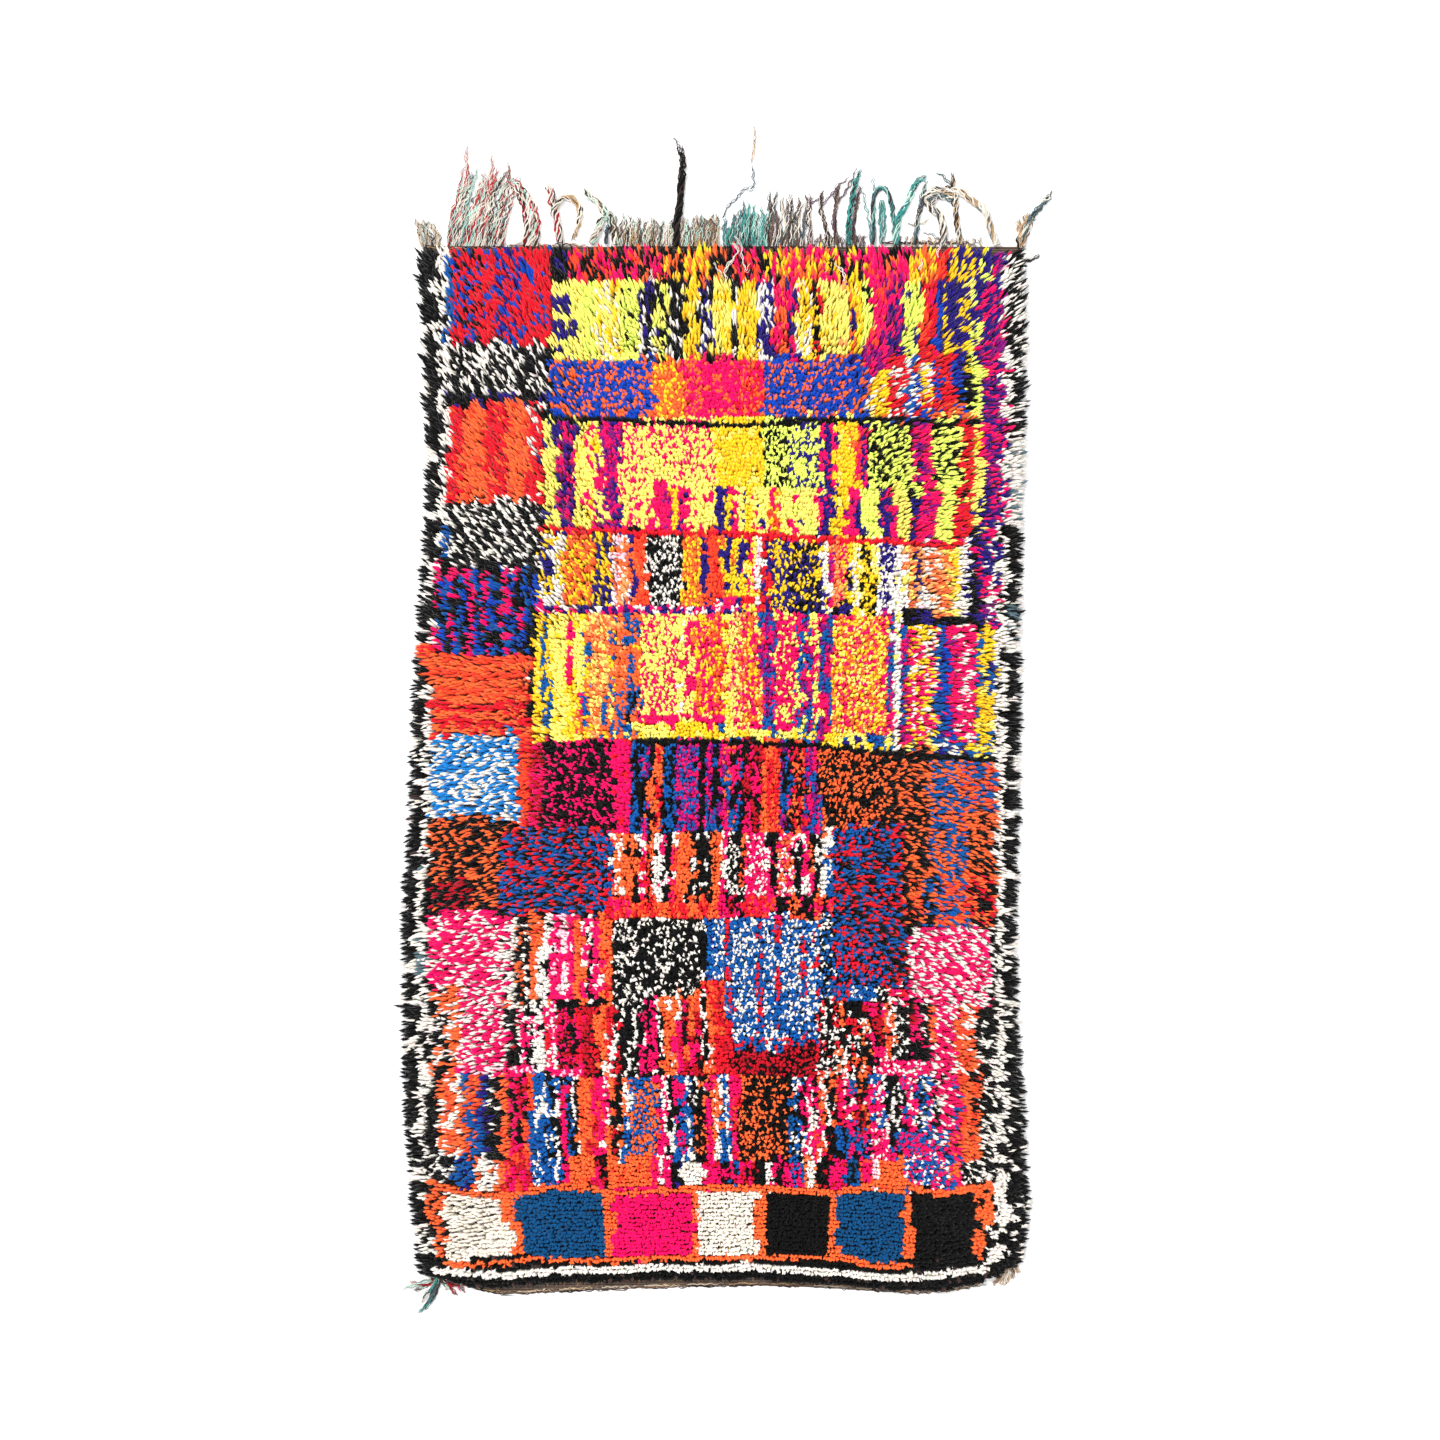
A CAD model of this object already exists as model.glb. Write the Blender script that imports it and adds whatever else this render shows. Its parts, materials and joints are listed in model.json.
"""The looks of a knotted shag rug: dyed wool pile, ground weave, flat-woven end and loose warp ends.

The rug lies on a pale floor. X runs across it, Y up its length and Z up from the floor, as in the part.
Sizes are in metres, and in centimetres in the chart of the patchwork, which is counted from the middle of
the upper edge.
"""

import json
import logging
import math
from dataclasses import dataclass, field
from enum import Enum
from typing import ClassVar, NamedTuple

import bpy
import numpy as np
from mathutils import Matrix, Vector

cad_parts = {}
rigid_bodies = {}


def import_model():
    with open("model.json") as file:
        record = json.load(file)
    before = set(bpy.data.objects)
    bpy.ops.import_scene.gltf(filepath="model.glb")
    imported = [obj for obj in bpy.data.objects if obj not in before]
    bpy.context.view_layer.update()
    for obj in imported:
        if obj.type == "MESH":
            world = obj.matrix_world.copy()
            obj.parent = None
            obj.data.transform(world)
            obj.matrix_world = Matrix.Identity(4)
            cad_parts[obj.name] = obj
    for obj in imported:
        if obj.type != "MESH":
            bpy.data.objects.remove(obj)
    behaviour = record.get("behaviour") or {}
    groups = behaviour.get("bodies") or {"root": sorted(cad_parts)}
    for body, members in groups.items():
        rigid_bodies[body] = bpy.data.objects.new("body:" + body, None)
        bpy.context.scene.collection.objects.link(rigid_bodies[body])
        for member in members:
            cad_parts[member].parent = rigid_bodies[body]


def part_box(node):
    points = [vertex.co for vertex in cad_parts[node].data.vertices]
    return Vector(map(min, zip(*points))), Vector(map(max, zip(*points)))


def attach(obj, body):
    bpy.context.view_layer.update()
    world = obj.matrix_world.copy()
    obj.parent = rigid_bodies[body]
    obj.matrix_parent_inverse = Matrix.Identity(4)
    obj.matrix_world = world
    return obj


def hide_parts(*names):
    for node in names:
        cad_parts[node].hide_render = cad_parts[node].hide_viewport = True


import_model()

logging.basicConfig(level=logging.INFO, format="%(message)s")
LOG = logging.getLogger("rug")

CENTIMETRE = 0.01
SEED = 20261


class Work(Enum):
    """The ways in which the wools of one block are mixed."""

    HEATHER = "the wools in even shares, in small curling patches of a lock or two"
    STREAKS = "the wools in even shares, in longer streaks up and down"
    FLECKS = "mostly the first wool, with small patches of the others"
    TEETH = "mostly the first wool, with patches of the others as large as three knots"
    ROWS = "thin rows of knots, one wool after the other"


@dataclass(frozen=True)
class Wool:
    """A dyed wool, with its colour as a screen shows it, from 0 to 255."""

    red: int
    green: int
    blue: int

    def linear(self) -> np.ndarray:
        """The colour as the shaders take it, from 0 to 1 in linear light."""
        shown = np.array([self.red, self.green, self.blue]) / 255.0
        return np.where(shown <= 0.04045, shown / 12.92, ((shown + 0.055) / 1.055) ** 2.4)


WOOLS = {
    "red": Wool(226, 20, 40),
    "vermilion": Wool(252, 72, 40),
    "orange": Wool(255, 104, 50),
    "peach": Wool(255, 160, 96),
    "gold": Wool(255, 204, 32),
    "lemon": Wool(255, 236, 112),
    "lime": Wool(236, 252, 108),
    "magenta": Wool(250, 4, 100),
    "pink": Wool(250, 196, 212),
    "purple": Wool(132, 12, 118),
    "crimson": Wool(186, 12, 34),
    "navy": Wool(38, 22, 118),
    "cobalt": Wool(10, 66, 180),
    "teal": Wool(6, 72, 120),
    "sky": Wool(22, 128, 204),
    "azure": Wool(8, 84, 160),
    "white": Wool(238, 231, 222),
    "cream": Wool(238, 228, 214),
    "black": Wool(7, 6, 6),
    "tan": Wool(196, 160, 118),
    "brown": Wool(120, 96, 84),
    "slate": Wool(88, 112, 120),
    "mint": Wool(190, 226, 212),
    "jade": Wool(70, 158, 152),
    "plum": Wool(104, 78, 92),
    "umber": Wool(62, 46, 42),
}


@dataclass(frozen=True)
class Mixed:
    """One block of a band, up to a place across in centimetres, with its wools evenly mixed."""

    to: float
    wools: str
    work: ClassVar[Work] = Work.HEATHER


class Runs(Mixed):
    """A block whose wools run up and down in streaks."""

    work = Work.STREAKS


class Main(Mixed):
    """A block of mostly its first wool."""

    work = Work.FLECKS


class Teeth(Mixed):
    """A block of mostly its first wool, in large patches."""

    work = Work.TEETH


class Rows(Mixed):
    """A block of thin rows."""

    work = Work.ROWS


@dataclass(frozen=True)
class Band:
    """Blocks side by side, between two distances down from the upper edge and from a place across, in cm."""

    top: float
    foot: float
    left: float
    cells: tuple[Mixed, ...]


@dataclass(frozen=True)
class Line:
    """A line of knots along a few points (across, down) in centimetres, with its width and wools."""

    points: tuple[tuple[float, float], ...]
    width: float
    wools: str


GROUND_BAND = Band(-6, 250, -90, (Main(90, "black black white"),))

BANDS = (
    GROUND_BAND,
    # Left border
    Band(-1.5, 22.5, -76, (Teeth(-64.5, "black white"), Teeth(-63, "white black"),
        Teeth(-61.5, "azure white"))),
    Band(22.5, 56, -76, (Teeth(-64.5, "black white"), Teeth(-62.5, "white black"),
        Teeth(-61.5, "azure white"))),
    Band(56, 72, -76, (Teeth(-65, "black white"), Teeth(-63.5, "white black"),
        Main(-62.5, "azure white"))),
    Band(72, 76, -76, (Teeth(-67, "black white"), Teeth(-65.5, "white black"),
        Mixed(-62.5, "magenta white"))),
    Band(76, 92, -76, (Teeth(-67, "black white"), Teeth(-65.5, "white black"))),
    Band(92, 97.5, -76, (Teeth(-69.5, "black orange"), Mixed(-66.5, "orange red"))),
    Band(97.5, 122.5, -76, (Main(-68.5, "black white"), Main(-66, "white black"))),
    Band(122.5, 141.5, -78, (Main(-69.5, "black umber white"), Teeth(-66.5, "white black"))),
    Band(141.5, 169.5, -79.5, (Teeth(-70, "black white"), Teeth(-68, "white slate"),
        Teeth(-65.5, "black white"))),
    Band(169.5, 230.5, -79.5, (Teeth(-69.5, "black white"), Teeth(-67.5, "white black"),
        Teeth(-65, "black white"))),
    Band(230.5, 240, -76, (Teeth(-68, "black white"), Teeth(-66, "white black"),
        Main(-63.5, "black white"))),
    # Right border
    Band(-1.5, 25.5, 60.5, (Mixed(63.5, "navy magenta purple"), Runs(65.5, "navy magenta purple"),
        Main(66.5, "white magenta black"), Mixed(68, "white black"), Mixed(76, "black white"))),
    Band(25.5, 44.5, 58.5, (Mixed(61, "gold lime"), Mixed(63.5, "navy magenta purple"),
        Mixed(65.5, "magenta purple navy"), Teeth(67, "white magenta black"),
        Mixed(76, "black black white"))),
    Band(44.5, 65, 58.5, (Main(60, "lemon lime"), Mixed(64, "navy magenta purple"),
        Mixed(66, "magenta navy white"), Main(76, "white slate"))),
    Band(65, 81.5, 58.5, (Runs(60.5, "black navy"), Runs(62, "magenta navy"),
        Runs(63, "white navy"), Runs(64.5, "magenta navy white"), Main(66, "white black"),
        Main(76, "black white"))),
    Band(81.5, 90.5, 58.5, (Runs(61, "black navy"), Runs(63, "white purple"),
        Runs(64.5, "magenta navy"), Main(66.5, "white black"), Mixed(76, "white slate black"))),
    Band(90.5, 122.5, 58.5, (Mixed(63, "gold azure navy"), Main(64.5, "white black"),
        Main(66, "white black"), Teeth(76, "black white"))),
    Band(122.5, 135.5, 63, (Main(64.5, "orange azure"), Main(66.5, "white black"),
        Teeth(76, "black white"))),
    Band(135.5, 151.5, 63, (Mixed(64, "black white"), Main(66, "white black"),
        Main(76, "black white"))),
    Band(151.5, 157, 62.5, (Main(66, "white black"), Mixed(76, "black white"))),
    Band(157, 173, 62, (Mixed(64, "black white"), Main(66.5, "white black"),
        Teeth(76, "black white"))),
    Band(173, 230.5, 58.5, (Mixed(60.5, "black white"), Teeth(63.5, "black white"),
        Teeth(66.5, "white black"), Main(76, "black white"))),
    Band(230.5, 240, 61, (Teeth(65, "white black"), Teeth(76, "black white"))),
    # Left column
    Band(-1, 22, -62, (Mixed(-55.5, "cobalt black red red red"), Main(-51.5, "red cobalt"),
        Mixed(-46, "cobalt navy red red"), Main(-39, "red cobalt"))),
    Band(21.5, 34, -62, (Mixed(-39.5, "black white"),)),
    Band(33, 36, -63, (Main(-51.5, "black navy"), Mixed(-46.5, "navy black"),
        Main(-41, "black navy"), Main(-39.5, "navy black"))),
    Band(36, 58, -62.5, (Main(-59.5, "red vermilion"), Main(-54, "orange vermilion"),
        Main(-49, "red orange"), Main(-44.5, "orange vermilion"), Main(-41, "red white"))),
    Band(58, 74.5, -63, (Mixed(-41.5, "white black"),)),
    Band(72, 74.5, -64.5, (Main(-41.5, "black white"),)),
    Band(74, 94, -66.5, (Runs(-65, "magenta black"), Runs(-63, "cobalt azure black"),
        Runs(-61, "magenta black"), Runs(-59.5, "cobalt azure"), Main(-58.5, "black cobalt"),
        Main(-57, "magenta black"), Runs(-55, "cobalt azure black"), Runs(-53.5, "magenta black"),
        Runs(-52, "cobalt azure"), Main(-50.5, "black cobalt"), Main(-49, "magenta azure"),
        Runs(-47.5, "azure cobalt black"), Runs(-46, "magenta black"),
        Runs(-44.5, "azure cobalt black"), Main(-43, "black cobalt"), Main(-41.5, "cobalt black"))),
    Band(93.5, 104, -67, (Rows(-43.5, "orange vermilion"),)),
    Band(104, 112.5, -67, (Rows(-43.5, "orange red"),)),
    Band(112, 132, -67, (Mixed(-46, "sky white"),)),
    Band(131.5, 145.5, -67, (Mixed(-49, "orange black"),)),
    Band(145.5, 152, -67, (Mixed(-57, "crimson black"), Mixed(-50.5, "orange black"))),
    Band(152, 153.5, -67, (Main(-49, "black orange"),)),
    Band(153, 174, -67, (Mixed(-53, "magenta magenta white"), Mixed(-49.5, "white magenta"))),
    Band(170, 190, -66.5, (Runs(-62.5, "orange white black"), Runs(-60.5, "orange orange white"),
        Mixed(-49, "magenta white"))),
    Band(171, 174, -60.5, (Mixed(-50.5, "magenta white"),)),
    Band(171.5, 175.5, -51, (Main(-47, "vermilion crimson"), Runs(-40, "white cream orange"))),
    # Upper strip
    Band(-1.5, 7.5, -39, (Main(-34.5, "black navy"), Runs(-19.5, "magenta vermilion black"),
        Runs(-12.5, "magenta black orange"), Runs(2.5, "gold orange black"),
        Runs(9, "magenta black vermilion"), Runs(14, "black gold magenta"),
        Runs(25.5, "gold orange magenta"), Runs(34, "black magenta gold"),
        Main(37.5, "magenta vermilion"), Runs(41.5, "orange black magenta"), Main(44, "magenta black"),
        Main(46.5, "gold orange"), Runs(50.5, "orange gold"), Runs(53, "vermilion red"),
        Runs(60.5, "gold navy"), Runs(63.5, "navy lime"))),
    Band(7.5, 25.5, -39, (Main(-35.5, "lemon navy"), Main(-32, "lemon lime"),
        Main(-29, "lime lemon"), Runs(-23, "gold lemon white lemon"),
        Main(-18.5, "lime black lemon"), Runs(-15, "white black navy"),
        Mixed(-12, "lime black lemon"), Runs(-8, "black white black"), Main(-4.5, "gold lemon"),
        Runs(-2, "navy white black"), Main(0, "lemon gold"), Runs(2.5, "gold lemon"),
        Runs(4, "black white"), Main(8.5, "gold lemon"), Runs(12.5, "navy white"),
        Runs(14.5, "magenta orange"), Runs(15.5, "red orange"), Runs(17.5, "navy magenta"),
        Runs(19.5, "white gold lemon"), Runs(21.5, "gold white gold"), Runs(23.5, "red black gold"),
        Main(27, "lemon gold"), Main(30, "lemon peach"), Runs(31.5, "navy orange gold"),
        Main(33, "gold lemon"), Main(35.5, "lime black"), Main(38, "magenta vermilion"),
        Runs(39, "purple magenta"), Mixed(42, "purple magenta navy"), Main(46.5, "lime navy"),
        Runs(48.5, "vermilion red"), Main(50.5, "red magenta"), Runs(52, "navy cobalt"),
        Runs(53.5, "gold navy"), Main(55.5, "navy gold"), Runs(57, "gold navy gold"),
        Runs(60, "lime lemon navy"), Main(61, "navy magenta"), Runs(63.5, "navy magenta purple"))),
    Band(11, 15, -39, (Main(-34.5, "navy lemon"),)),
    Band(16.5, 20, -37.5, (Main(-32.5, "navy lemon"),)),
    Band(5.5, 10, 35, (Main(38, "magenta vermilion"), Runs(41.5, "magenta vermilion purple"))),
    Band(19, 25.5, 35, (Runs(37.5, "vermilion magenta"), Runs(41.5, "purple magenta navy"))),
    # Heather strip
    Band(25.5, 39.5, -39.5, (Mixed(-15, "cobalt cobalt orange cobalt orange"),
        Mixed(-8.5, "gold orange orange"), Mixed(-4.5, "magenta orange"), Main(4.5, "magenta orange"),
        Mixed(9.5, "magenta orange red"), Mixed(34, "cobalt cobalt orange"), Runs(36, "white gold"),
        Main(39, "gold white orange"), Runs(43, "red white red"), Runs(44.5, "white azure"),
        Runs(45.5, "cobalt white"), Runs(46.5, "orange red"), Runs(47.5, "gold white"),
        Runs(49, "gold white red"), Runs(51, "cobalt red"), Main(54, "red vermilion"),
        Runs(56.5, "cobalt navy"), Runs(58, "gold black navy"), Main(59.5, "lime black"),
        Main(61, "lime black"))),
    Band(22.5, 29, 34, (Runs(40, "magenta purple"),)),
    Band(31.5, 38, 54, (Runs(56.5, "cobalt orange black"), Main(59.5, "black lime"),
        Main(60.5, "lime lemon"))),
    Band(38.5, 39.5, -38.5, (Main(10.5, "orange magenta"), Runs(61, "lemon orange cobalt"))),
    # Crosses strip
    Band(39.5, 65, -41, (Main(-37.5, "lemon navy"), Runs(-33.5, "navy purple magenta"),
        Main(-31.5, "lemon gold"), Main(-30, "lemon magenta"), Runs(-28.5, "magenta lemon gold"),
        Runs(-26, "magenta purple lemon"), Runs(-23, "purple magenta navy"),
        Mixed(-16, "lemon lemon magenta"), Mixed(-9, "lemon lemon lemon magenta"),
        Mixed(-1.5, "lemon lemon magenta"), Main(4, "gold lemon"), Main(10, "gold lemon"),
        Mixed(16, "lime lime black"), Mixed(23.5, "lime lime navy"), Runs(26.5, "magenta navy"),
        Main(29, "gold lemon"), Main(31.5, "gold orange"), Runs(32.5, "magenta vermilion"),
        Runs(34, "magenta navy"), Mixed(39, "lime lime black"), Mixed(44.5, "lime lime lime black"),
        Runs(46, "magenta purple"), Runs(47, "purple navy"), Main(49, "magenta purple"),
        Mixed(53, "lime lime black"), Mixed(56.5, "lime lime black lime"), Main(58.5, "red vermilion"),
        Main(60.5, "lemon gold"), Runs(61.5, "navy magenta"))),
    Band(54.5, 68, -18.5, (Main(-16, "lemon magenta"), Main(-14, "magenta lemon"),
        Main(-11.5, "magenta purple"), Main(-10, "gold orange"), Main(-7.5, "magenta navy"),
        Main(-4, "lemon magenta"), Main(-1.5, "lemon magenta"), Main(0.5, "navy gold"),
        Runs(2.5, "gold navy"), Main(4, "magenta lemon"), Main(5.5, "lemon navy"),
        Main(7.5, "gold lemon"), Main(9, "lemon magenta"), Main(11, "lemon navy"),
        Runs(14, "magenta gold vermilion"), Main(16.5, "lemon lime"), Main(18, "magenta lemon"),
        Main(20, "lemon navy"), Main(22.5, "lemon lime"), Main(23.5, "magenta lemon"),
        Main(26, "navy magenta"), Main(29, "gold lemon"), Main(31.5, "magenta purple"),
        Main(33.5, "navy magenta"), Main(37, "lime lemon"), Main(39, "navy magenta"),
        Main(40.5, "magenta purple"), Main(44, "lemon lime"), Main(46, "navy magenta"),
        Main(50.5, "magenta purple"), Main(54, "lime lemon"), Main(56.5, "red magenta"),
        Main(58, "red vermilion"), Main(60.5, "lemon navy"))),
    Band(54.5, 61.5, 17.5, (Main(20.5, "lemon lime"),)),
    Band(54.5, 63, 32.5, (Main(36.5, "lime lemon"),)),
    Band(54.5, 57.5, 43, (Mixed(46.5, "lime lime black"),)),
    Band(54.5, 59.5, 54, (Mixed(56.5, "lime lime black"),)),
    # Blocks strip
    Band(65.5, 85.5, -41.5, (Runs(-39, "white gold navy"), Main(-36.5, "white gold"),
        Mixed(-33, "gold orange"), Mixed(-29, "gold orange"), Runs(-27, "navy gold"),
        Runs(-25, "navy gold"), Runs(-23, "white pink orange"), Runs(-21, "orange white peach"),
        Runs(-19, "navy orange"), Main(-17, "vermilion orange"), Mixed(-12.5, "black white"),
        Mixed(-8, "white black"), Mixed(-6, "gold orange"), Mixed(-4.5, "orange gold"),
        Runs(-3.5, "navy orange"), Runs(-2, "navy vermilion"), Main(0, "vermilion red"),
        Runs(1, "gold orange"), Main(2, "navy gold"), Main(4, "gold orange"),
        Runs(6, "navy gold"), Runs(8.5, "lemon gold magenta"), Main(9.5, "white pink"),
        Main(10, "red vermilion"), Runs(11.5, "navy red"), Mixed(16, "gold navy"),
        Mixed(23, "navy gold black"), Runs(24, "gold navy white"), Main(25.5, "white lemon"),
        Runs(26, "purple magenta"), Mixed(28, "peach orange"), Mixed(29, "peach gold magenta"),
        Runs(30, "black navy gold"), Main(31, "gold white"), Runs(32.5, "lemon white"),
        Runs(33.5, "black gold"), Mixed(35.5, "gold black gold"), Runs(37, "white lemon"),
        Mixed(38, "white navy"), Mixed(40, "navy white white"), Main(43, "white lemon"),
        Mixed(45, "peach lemon orange"), Runs(46, "navy peach"), Main(47, "white pink"),
        Runs(49, "white peach"), Mixed(51.5, "peach white orange"), Mixed(53.5, "peach lemon orange"),
        Runs(55, "lemon gold"), Main(57.5, "white navy"), Main(59.5, "black navy"),
        Runs(60.5, "magenta navy"))),
    Band(82, 84, -42.5, (Runs(4.5, "navy magenta white"),)),
    Band(65.5, 67, 16, (Main(18, "magenta lemon"), Main(20, "lemon navy"),
        Main(22.5, "lemon lime"), Main(23.5, "magenta lemon"), Main(26, "navy magenta"),
        Main(29, "gold lemon"), Main(31.5, "magenta purple"), Main(33.5, "navy magenta"),
        Main(37, "lime lemon"))),
    Band(65.5, 68.5, 37, (Main(39, "navy magenta"), Main(40.5, "magenta purple"),
        Main(44, "lemon lime"), Main(46, "navy magenta"), Main(50.5, "magenta purple"),
        Main(54, "lime lemon"), Main(56.5, "red magenta"))),
    Band(80.5, 82.5, 0.5, (Main(3.5, "magenta vermilion"), Main(5.5, "navy black"),
        Main(8.5, "red orange"))),
    Band(82, 85.5, 26, (Main(28, "black navy"), Main(30.5, "navy black"))),
    Band(83.5, 88, 43, (Main(46, "black navy"), Main(48.5, "navy black"))),
    Band(85, 88, 50, (Main(54, "black navy"),)),
    # Pale strip
    Band(84, 114.5, -43, (Main(-41, "gold lemon"), Runs(-39, "gold azure"),
        Main(-35, "lemon gold"), Main(-33.5, "gold lemon"), Main(-31.5, "lemon gold"),
        Runs(-30.5, "azure orange gold"), Mixed(-28, "orange lemon peach"),
        Mixed(-25.5, "lemon peach orange"), Runs(-24.5, "azure orange gold"),
        Main(-21.5, "orange peach"), Runs(-20, "azure orange azure"), Main(-19, "orange gold"),
        Runs(-18, "azure orange"), Mixed(-10, "lemon lemon magenta"), Main(-8.5, "lemon white"),
        Runs(-6, "magenta lemon"), Runs(-4, "orange gold magenta"), Runs(-2.5, "magenta gold"),
        Mixed(1, "gold vermilion magenta orange"), Mixed(2.5, "lemon lemon gold"),
        Mixed(4, "lemon magenta lemon peach"), Mixed(6, "orange magenta lemon"),
        Runs(8, "orange magenta gold"), Runs(9.5, "magenta lemon orange"),
        Runs(12.5, "purple azure magenta"), Mixed(17, "magenta lemon magenta"),
        Runs(19.5, "azure lemon magenta"), Runs(21, "magenta purple azure"),
        Runs(23, "lemon magenta lemon"), Runs(26, "azure purple magenta"),
        Mixed(32, "gold magenta lemon orange"), Mixed(38.5, "gold magenta orange lemon"),
        Runs(40, "azure purple magenta"), Main(42.5, "white lemon"))),
    Band(87.5, 118, 42, (Runs(43, "azure magenta purple"), Runs(44.5, "magenta gold magenta"),
        Runs(47.5, "white gold magenta"), Mixed(50.5, "magenta gold white"), Main(52.5, "azure navy"),
        Main(54.5, "magenta purple"), Mixed(56.5, "magenta white magenta"),
        Mixed(59.5, "magenta white magenta"), Runs(60, "lemon gold"), Runs(61, "gold azure"),
        Main(62.5, "gold lemon"), Runs(63.5, "gold azure navy"))),
    Band(86.5, 100.5, -35.5, (Main(-34, "magenta red"),)),
    Band(102, 114.5, -33, (Runs(-31.5, "magenta gold orange"), Runs(-30, "azure orange gold"),
        Mixed(-27.5, "lemon orange peach"), Runs(-25, "azure orange lemon"),
        Mixed(-21.5, "orange azure orange"), Runs(-19, "orange azure black"))),
    Band(107, 110, -20, (Main(1, "magenta lemon"),)),
    Band(110, 113.5, -27.5, (Runs(-25, "azure orange gold"), Runs(-19.5, "orange azure lemon"),
        Main(-12.5, "lemon gold"), Main(-7, "gold lemon"), Main(0, "gold lemon lemon"),
        Main(1.5, "azure navy"))),
    Band(110.5, 114.5, 1.5, (Main(3.5, "lemon gold"), Main(5.5, "gold lemon"), Main(8.5, "lemon azure"),
        Main(11, "lemon gold"), Runs(14, "lemon azure gold"), Main(17, "lemon azure"),
        Runs(22, "lemon azure gold"))),
    Band(111.5, 117, 23.5, (Main(26.5, "gold lemon"), Runs(29, "navy gold lemon"),
        Main(31.5, "lemon azure"), Runs(35, "gold lemon navy"), Main(37, "azure navy"),
        Runs(40, "lemon gold azure"))),
    Band(114, 118.5, 40, (Main(42.5, "white gold"), Runs(45, "lemon azure gold"),
        Main(49.5, "lemon gold"), Runs(52.5, "azure white navy"), Main(55, "white lemon"),
        Runs(58.5, "azure gold navy"), Runs(63.5, "gold azure lemon"))),
    # Stripes strip
    Band(113, 134.5, -46.5, (Main(-44, "vermilion red"), Mixed(-41.5, "magenta crimson"),
        Mixed(-24.5, "magenta black magenta black black"), Main(-21, "magenta red"),
        Runs(-18, "azure black"), Runs(-17, "magenta purple azure"), Runs(-15, "orange black"),
        Runs(-13.5, "orange red"), Runs(-10, "azure black"), Mixed(-7.5, "magenta purple azure"),
        Mixed(-5, "magenta azure purple"), Main(-3.5, "black magenta"),
        Runs(-1.5, "azure purple magenta"), Main(0, "black azure"), Runs(1.5, "magenta purple"),
        Runs(3, "magenta orange azure"), Main(4, "black magenta"), Runs(5.5, "azure magenta black"),
        Runs(9.5, "magenta black crimson"), Runs(13.5, "red vermilion orange"),
        Runs(15, "azure black purple"), Runs(16.5, "black azure magenta"),
        Runs(20, "orange black red"), Runs(23.5, "magenta azure purple"))),
    Band(115.5, 136, 23, (Mixed(49, "black orange"),)),
    Band(118, 156.5, 48.5, (Mixed(56.5, "orange azure"), Mixed(64, "orange azure vermilion"))),
    Band(129.5, 156.5, 57, (Mixed(64, "orange black orange"),)),
    Band(135.5, 156.5, 49.5, (Mixed(57, "azure orange"),)),
    Band(144.5, 156.5, 50.5, (Mixed(57.5, "orange azure vermilion"), Mixed(64, "orange black red"))),
    # Cool strip
    Band(133.5, 153.5, -50.5, (Mixed(-25, "red azure red azure black"),)),
    Band(134.5, 150, -25, (Main(-24, "white orange"), Runs(-22.5, "white orange"),
        Main(-20.5, "orange black"), Runs(-19, "black orange"), Main(-18, "white magenta"),
        Runs(-17, "magenta red"), Runs(-15.5, "orange black vermilion"), Main(-13.5, "white black"),
        Runs(-12.5, "magenta white"), Main(-11.5, "black white"), Runs(-10.5, "magenta vermilion"),
        Main(-9.5, "white orange"), Main(-8.5, "orange vermilion"), Runs(-8, "black white"),
        Main(-6.5, "orange vermilion"), Runs(-6, "white black"), Runs(-5, "black orange"),
        Main(-2.5, "black white"), Runs(-1, "orange black"), Main(0, "orange vermilion"),
        Runs(0.5, "white black"), Runs(2, "magenta white"), Mixed(5, "black white"),
        Runs(6, "orange black vermilion"), Mixed(9, "magenta magenta white"),
        Mixed(11, "white magenta"), Runs(11.5, "magenta white"), Main(13, "black magenta"),
        Mixed(15, "white orange magenta"), Mixed(17, "white magenta orange"),
        Main(18.5, "black white"), Runs(21, "magenta white"), Runs(22, "orange black"),
        Runs(23, "white black"), Runs(24, "vermilion orange"), Mixed(26, "azure white"))),
    Band(133, 169.5, 23.5, (Main(24.5, "white orange"), Runs(26, "white azure"),
        Mixed(43.5, "red azure red azure black"))),
    Band(135.5, 156.5, 42, (Mixed(46, "orange black"), Mixed(49, "black orange"))),
    Band(145.5, 156.5, 43, (Runs(46.5, "orange vermilion black"), Runs(50.5, "black azure orange"))),
    Band(149.5, 155, -26, (Runs(-20.5, "red vermilion magenta"), Runs(-3, "orange vermilion red"),
        Runs(0, "orange vermilion"), Main(1.5, "magenta black"), Runs(5, "magenta black crimson"),
        Main(7.5, "red magenta"), Runs(13, "magenta red vermilion"), Main(16, "black magenta"),
        Runs(19, "orange black vermilion"), Main(21.5, "black magenta"),
        Runs(23.5, "red magenta orange"), Runs(26, "vermilion magenta black"))),
    # Quiet strip
    Band(153.5, 173.5, -49.5, (Main(-47.5, "white black"), Runs(-45.5, "orange black"),
        Runs(-44, "black white"), Main(-42, "orange vermilion"), Main(-39, "white black"),
        Main(-36.5, "magenta pink"), Runs(-35.5, "white pink"), Main(-34, "magenta white"),
        Main(-31.5, "orange vermilion"), Runs(-30.5, "magenta white"),
        Runs(-29, "white magenta black"), Main(-27.5, "magenta white"), Main(-25, "orange red"),
        Mixed(-3, "black black white black white"))),
    Band(153.5, 168.5, -3, (Main(-2.5, "azure navy"), Main(-1.5, "azure sky"),
        Mixed(1.5, "azure white"), Runs(2.5, "red azure"), Mixed(5, "white azure"))),
    Band(153.5, 184, 1, (Mixed(1.5, "white azure"), Runs(2.5, "red azure"),
        Mixed(8.5, "azure white"), Runs(10, "red azure"), Mixed(13, "white azure"),
        Runs(14, "red azure"), Mixed(19, "white azure"), Runs(20, "red azure"),
        Mixed(22, "azure white"), Runs(23, "red white azure"), Mixed(26, "white azure black"))),
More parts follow.
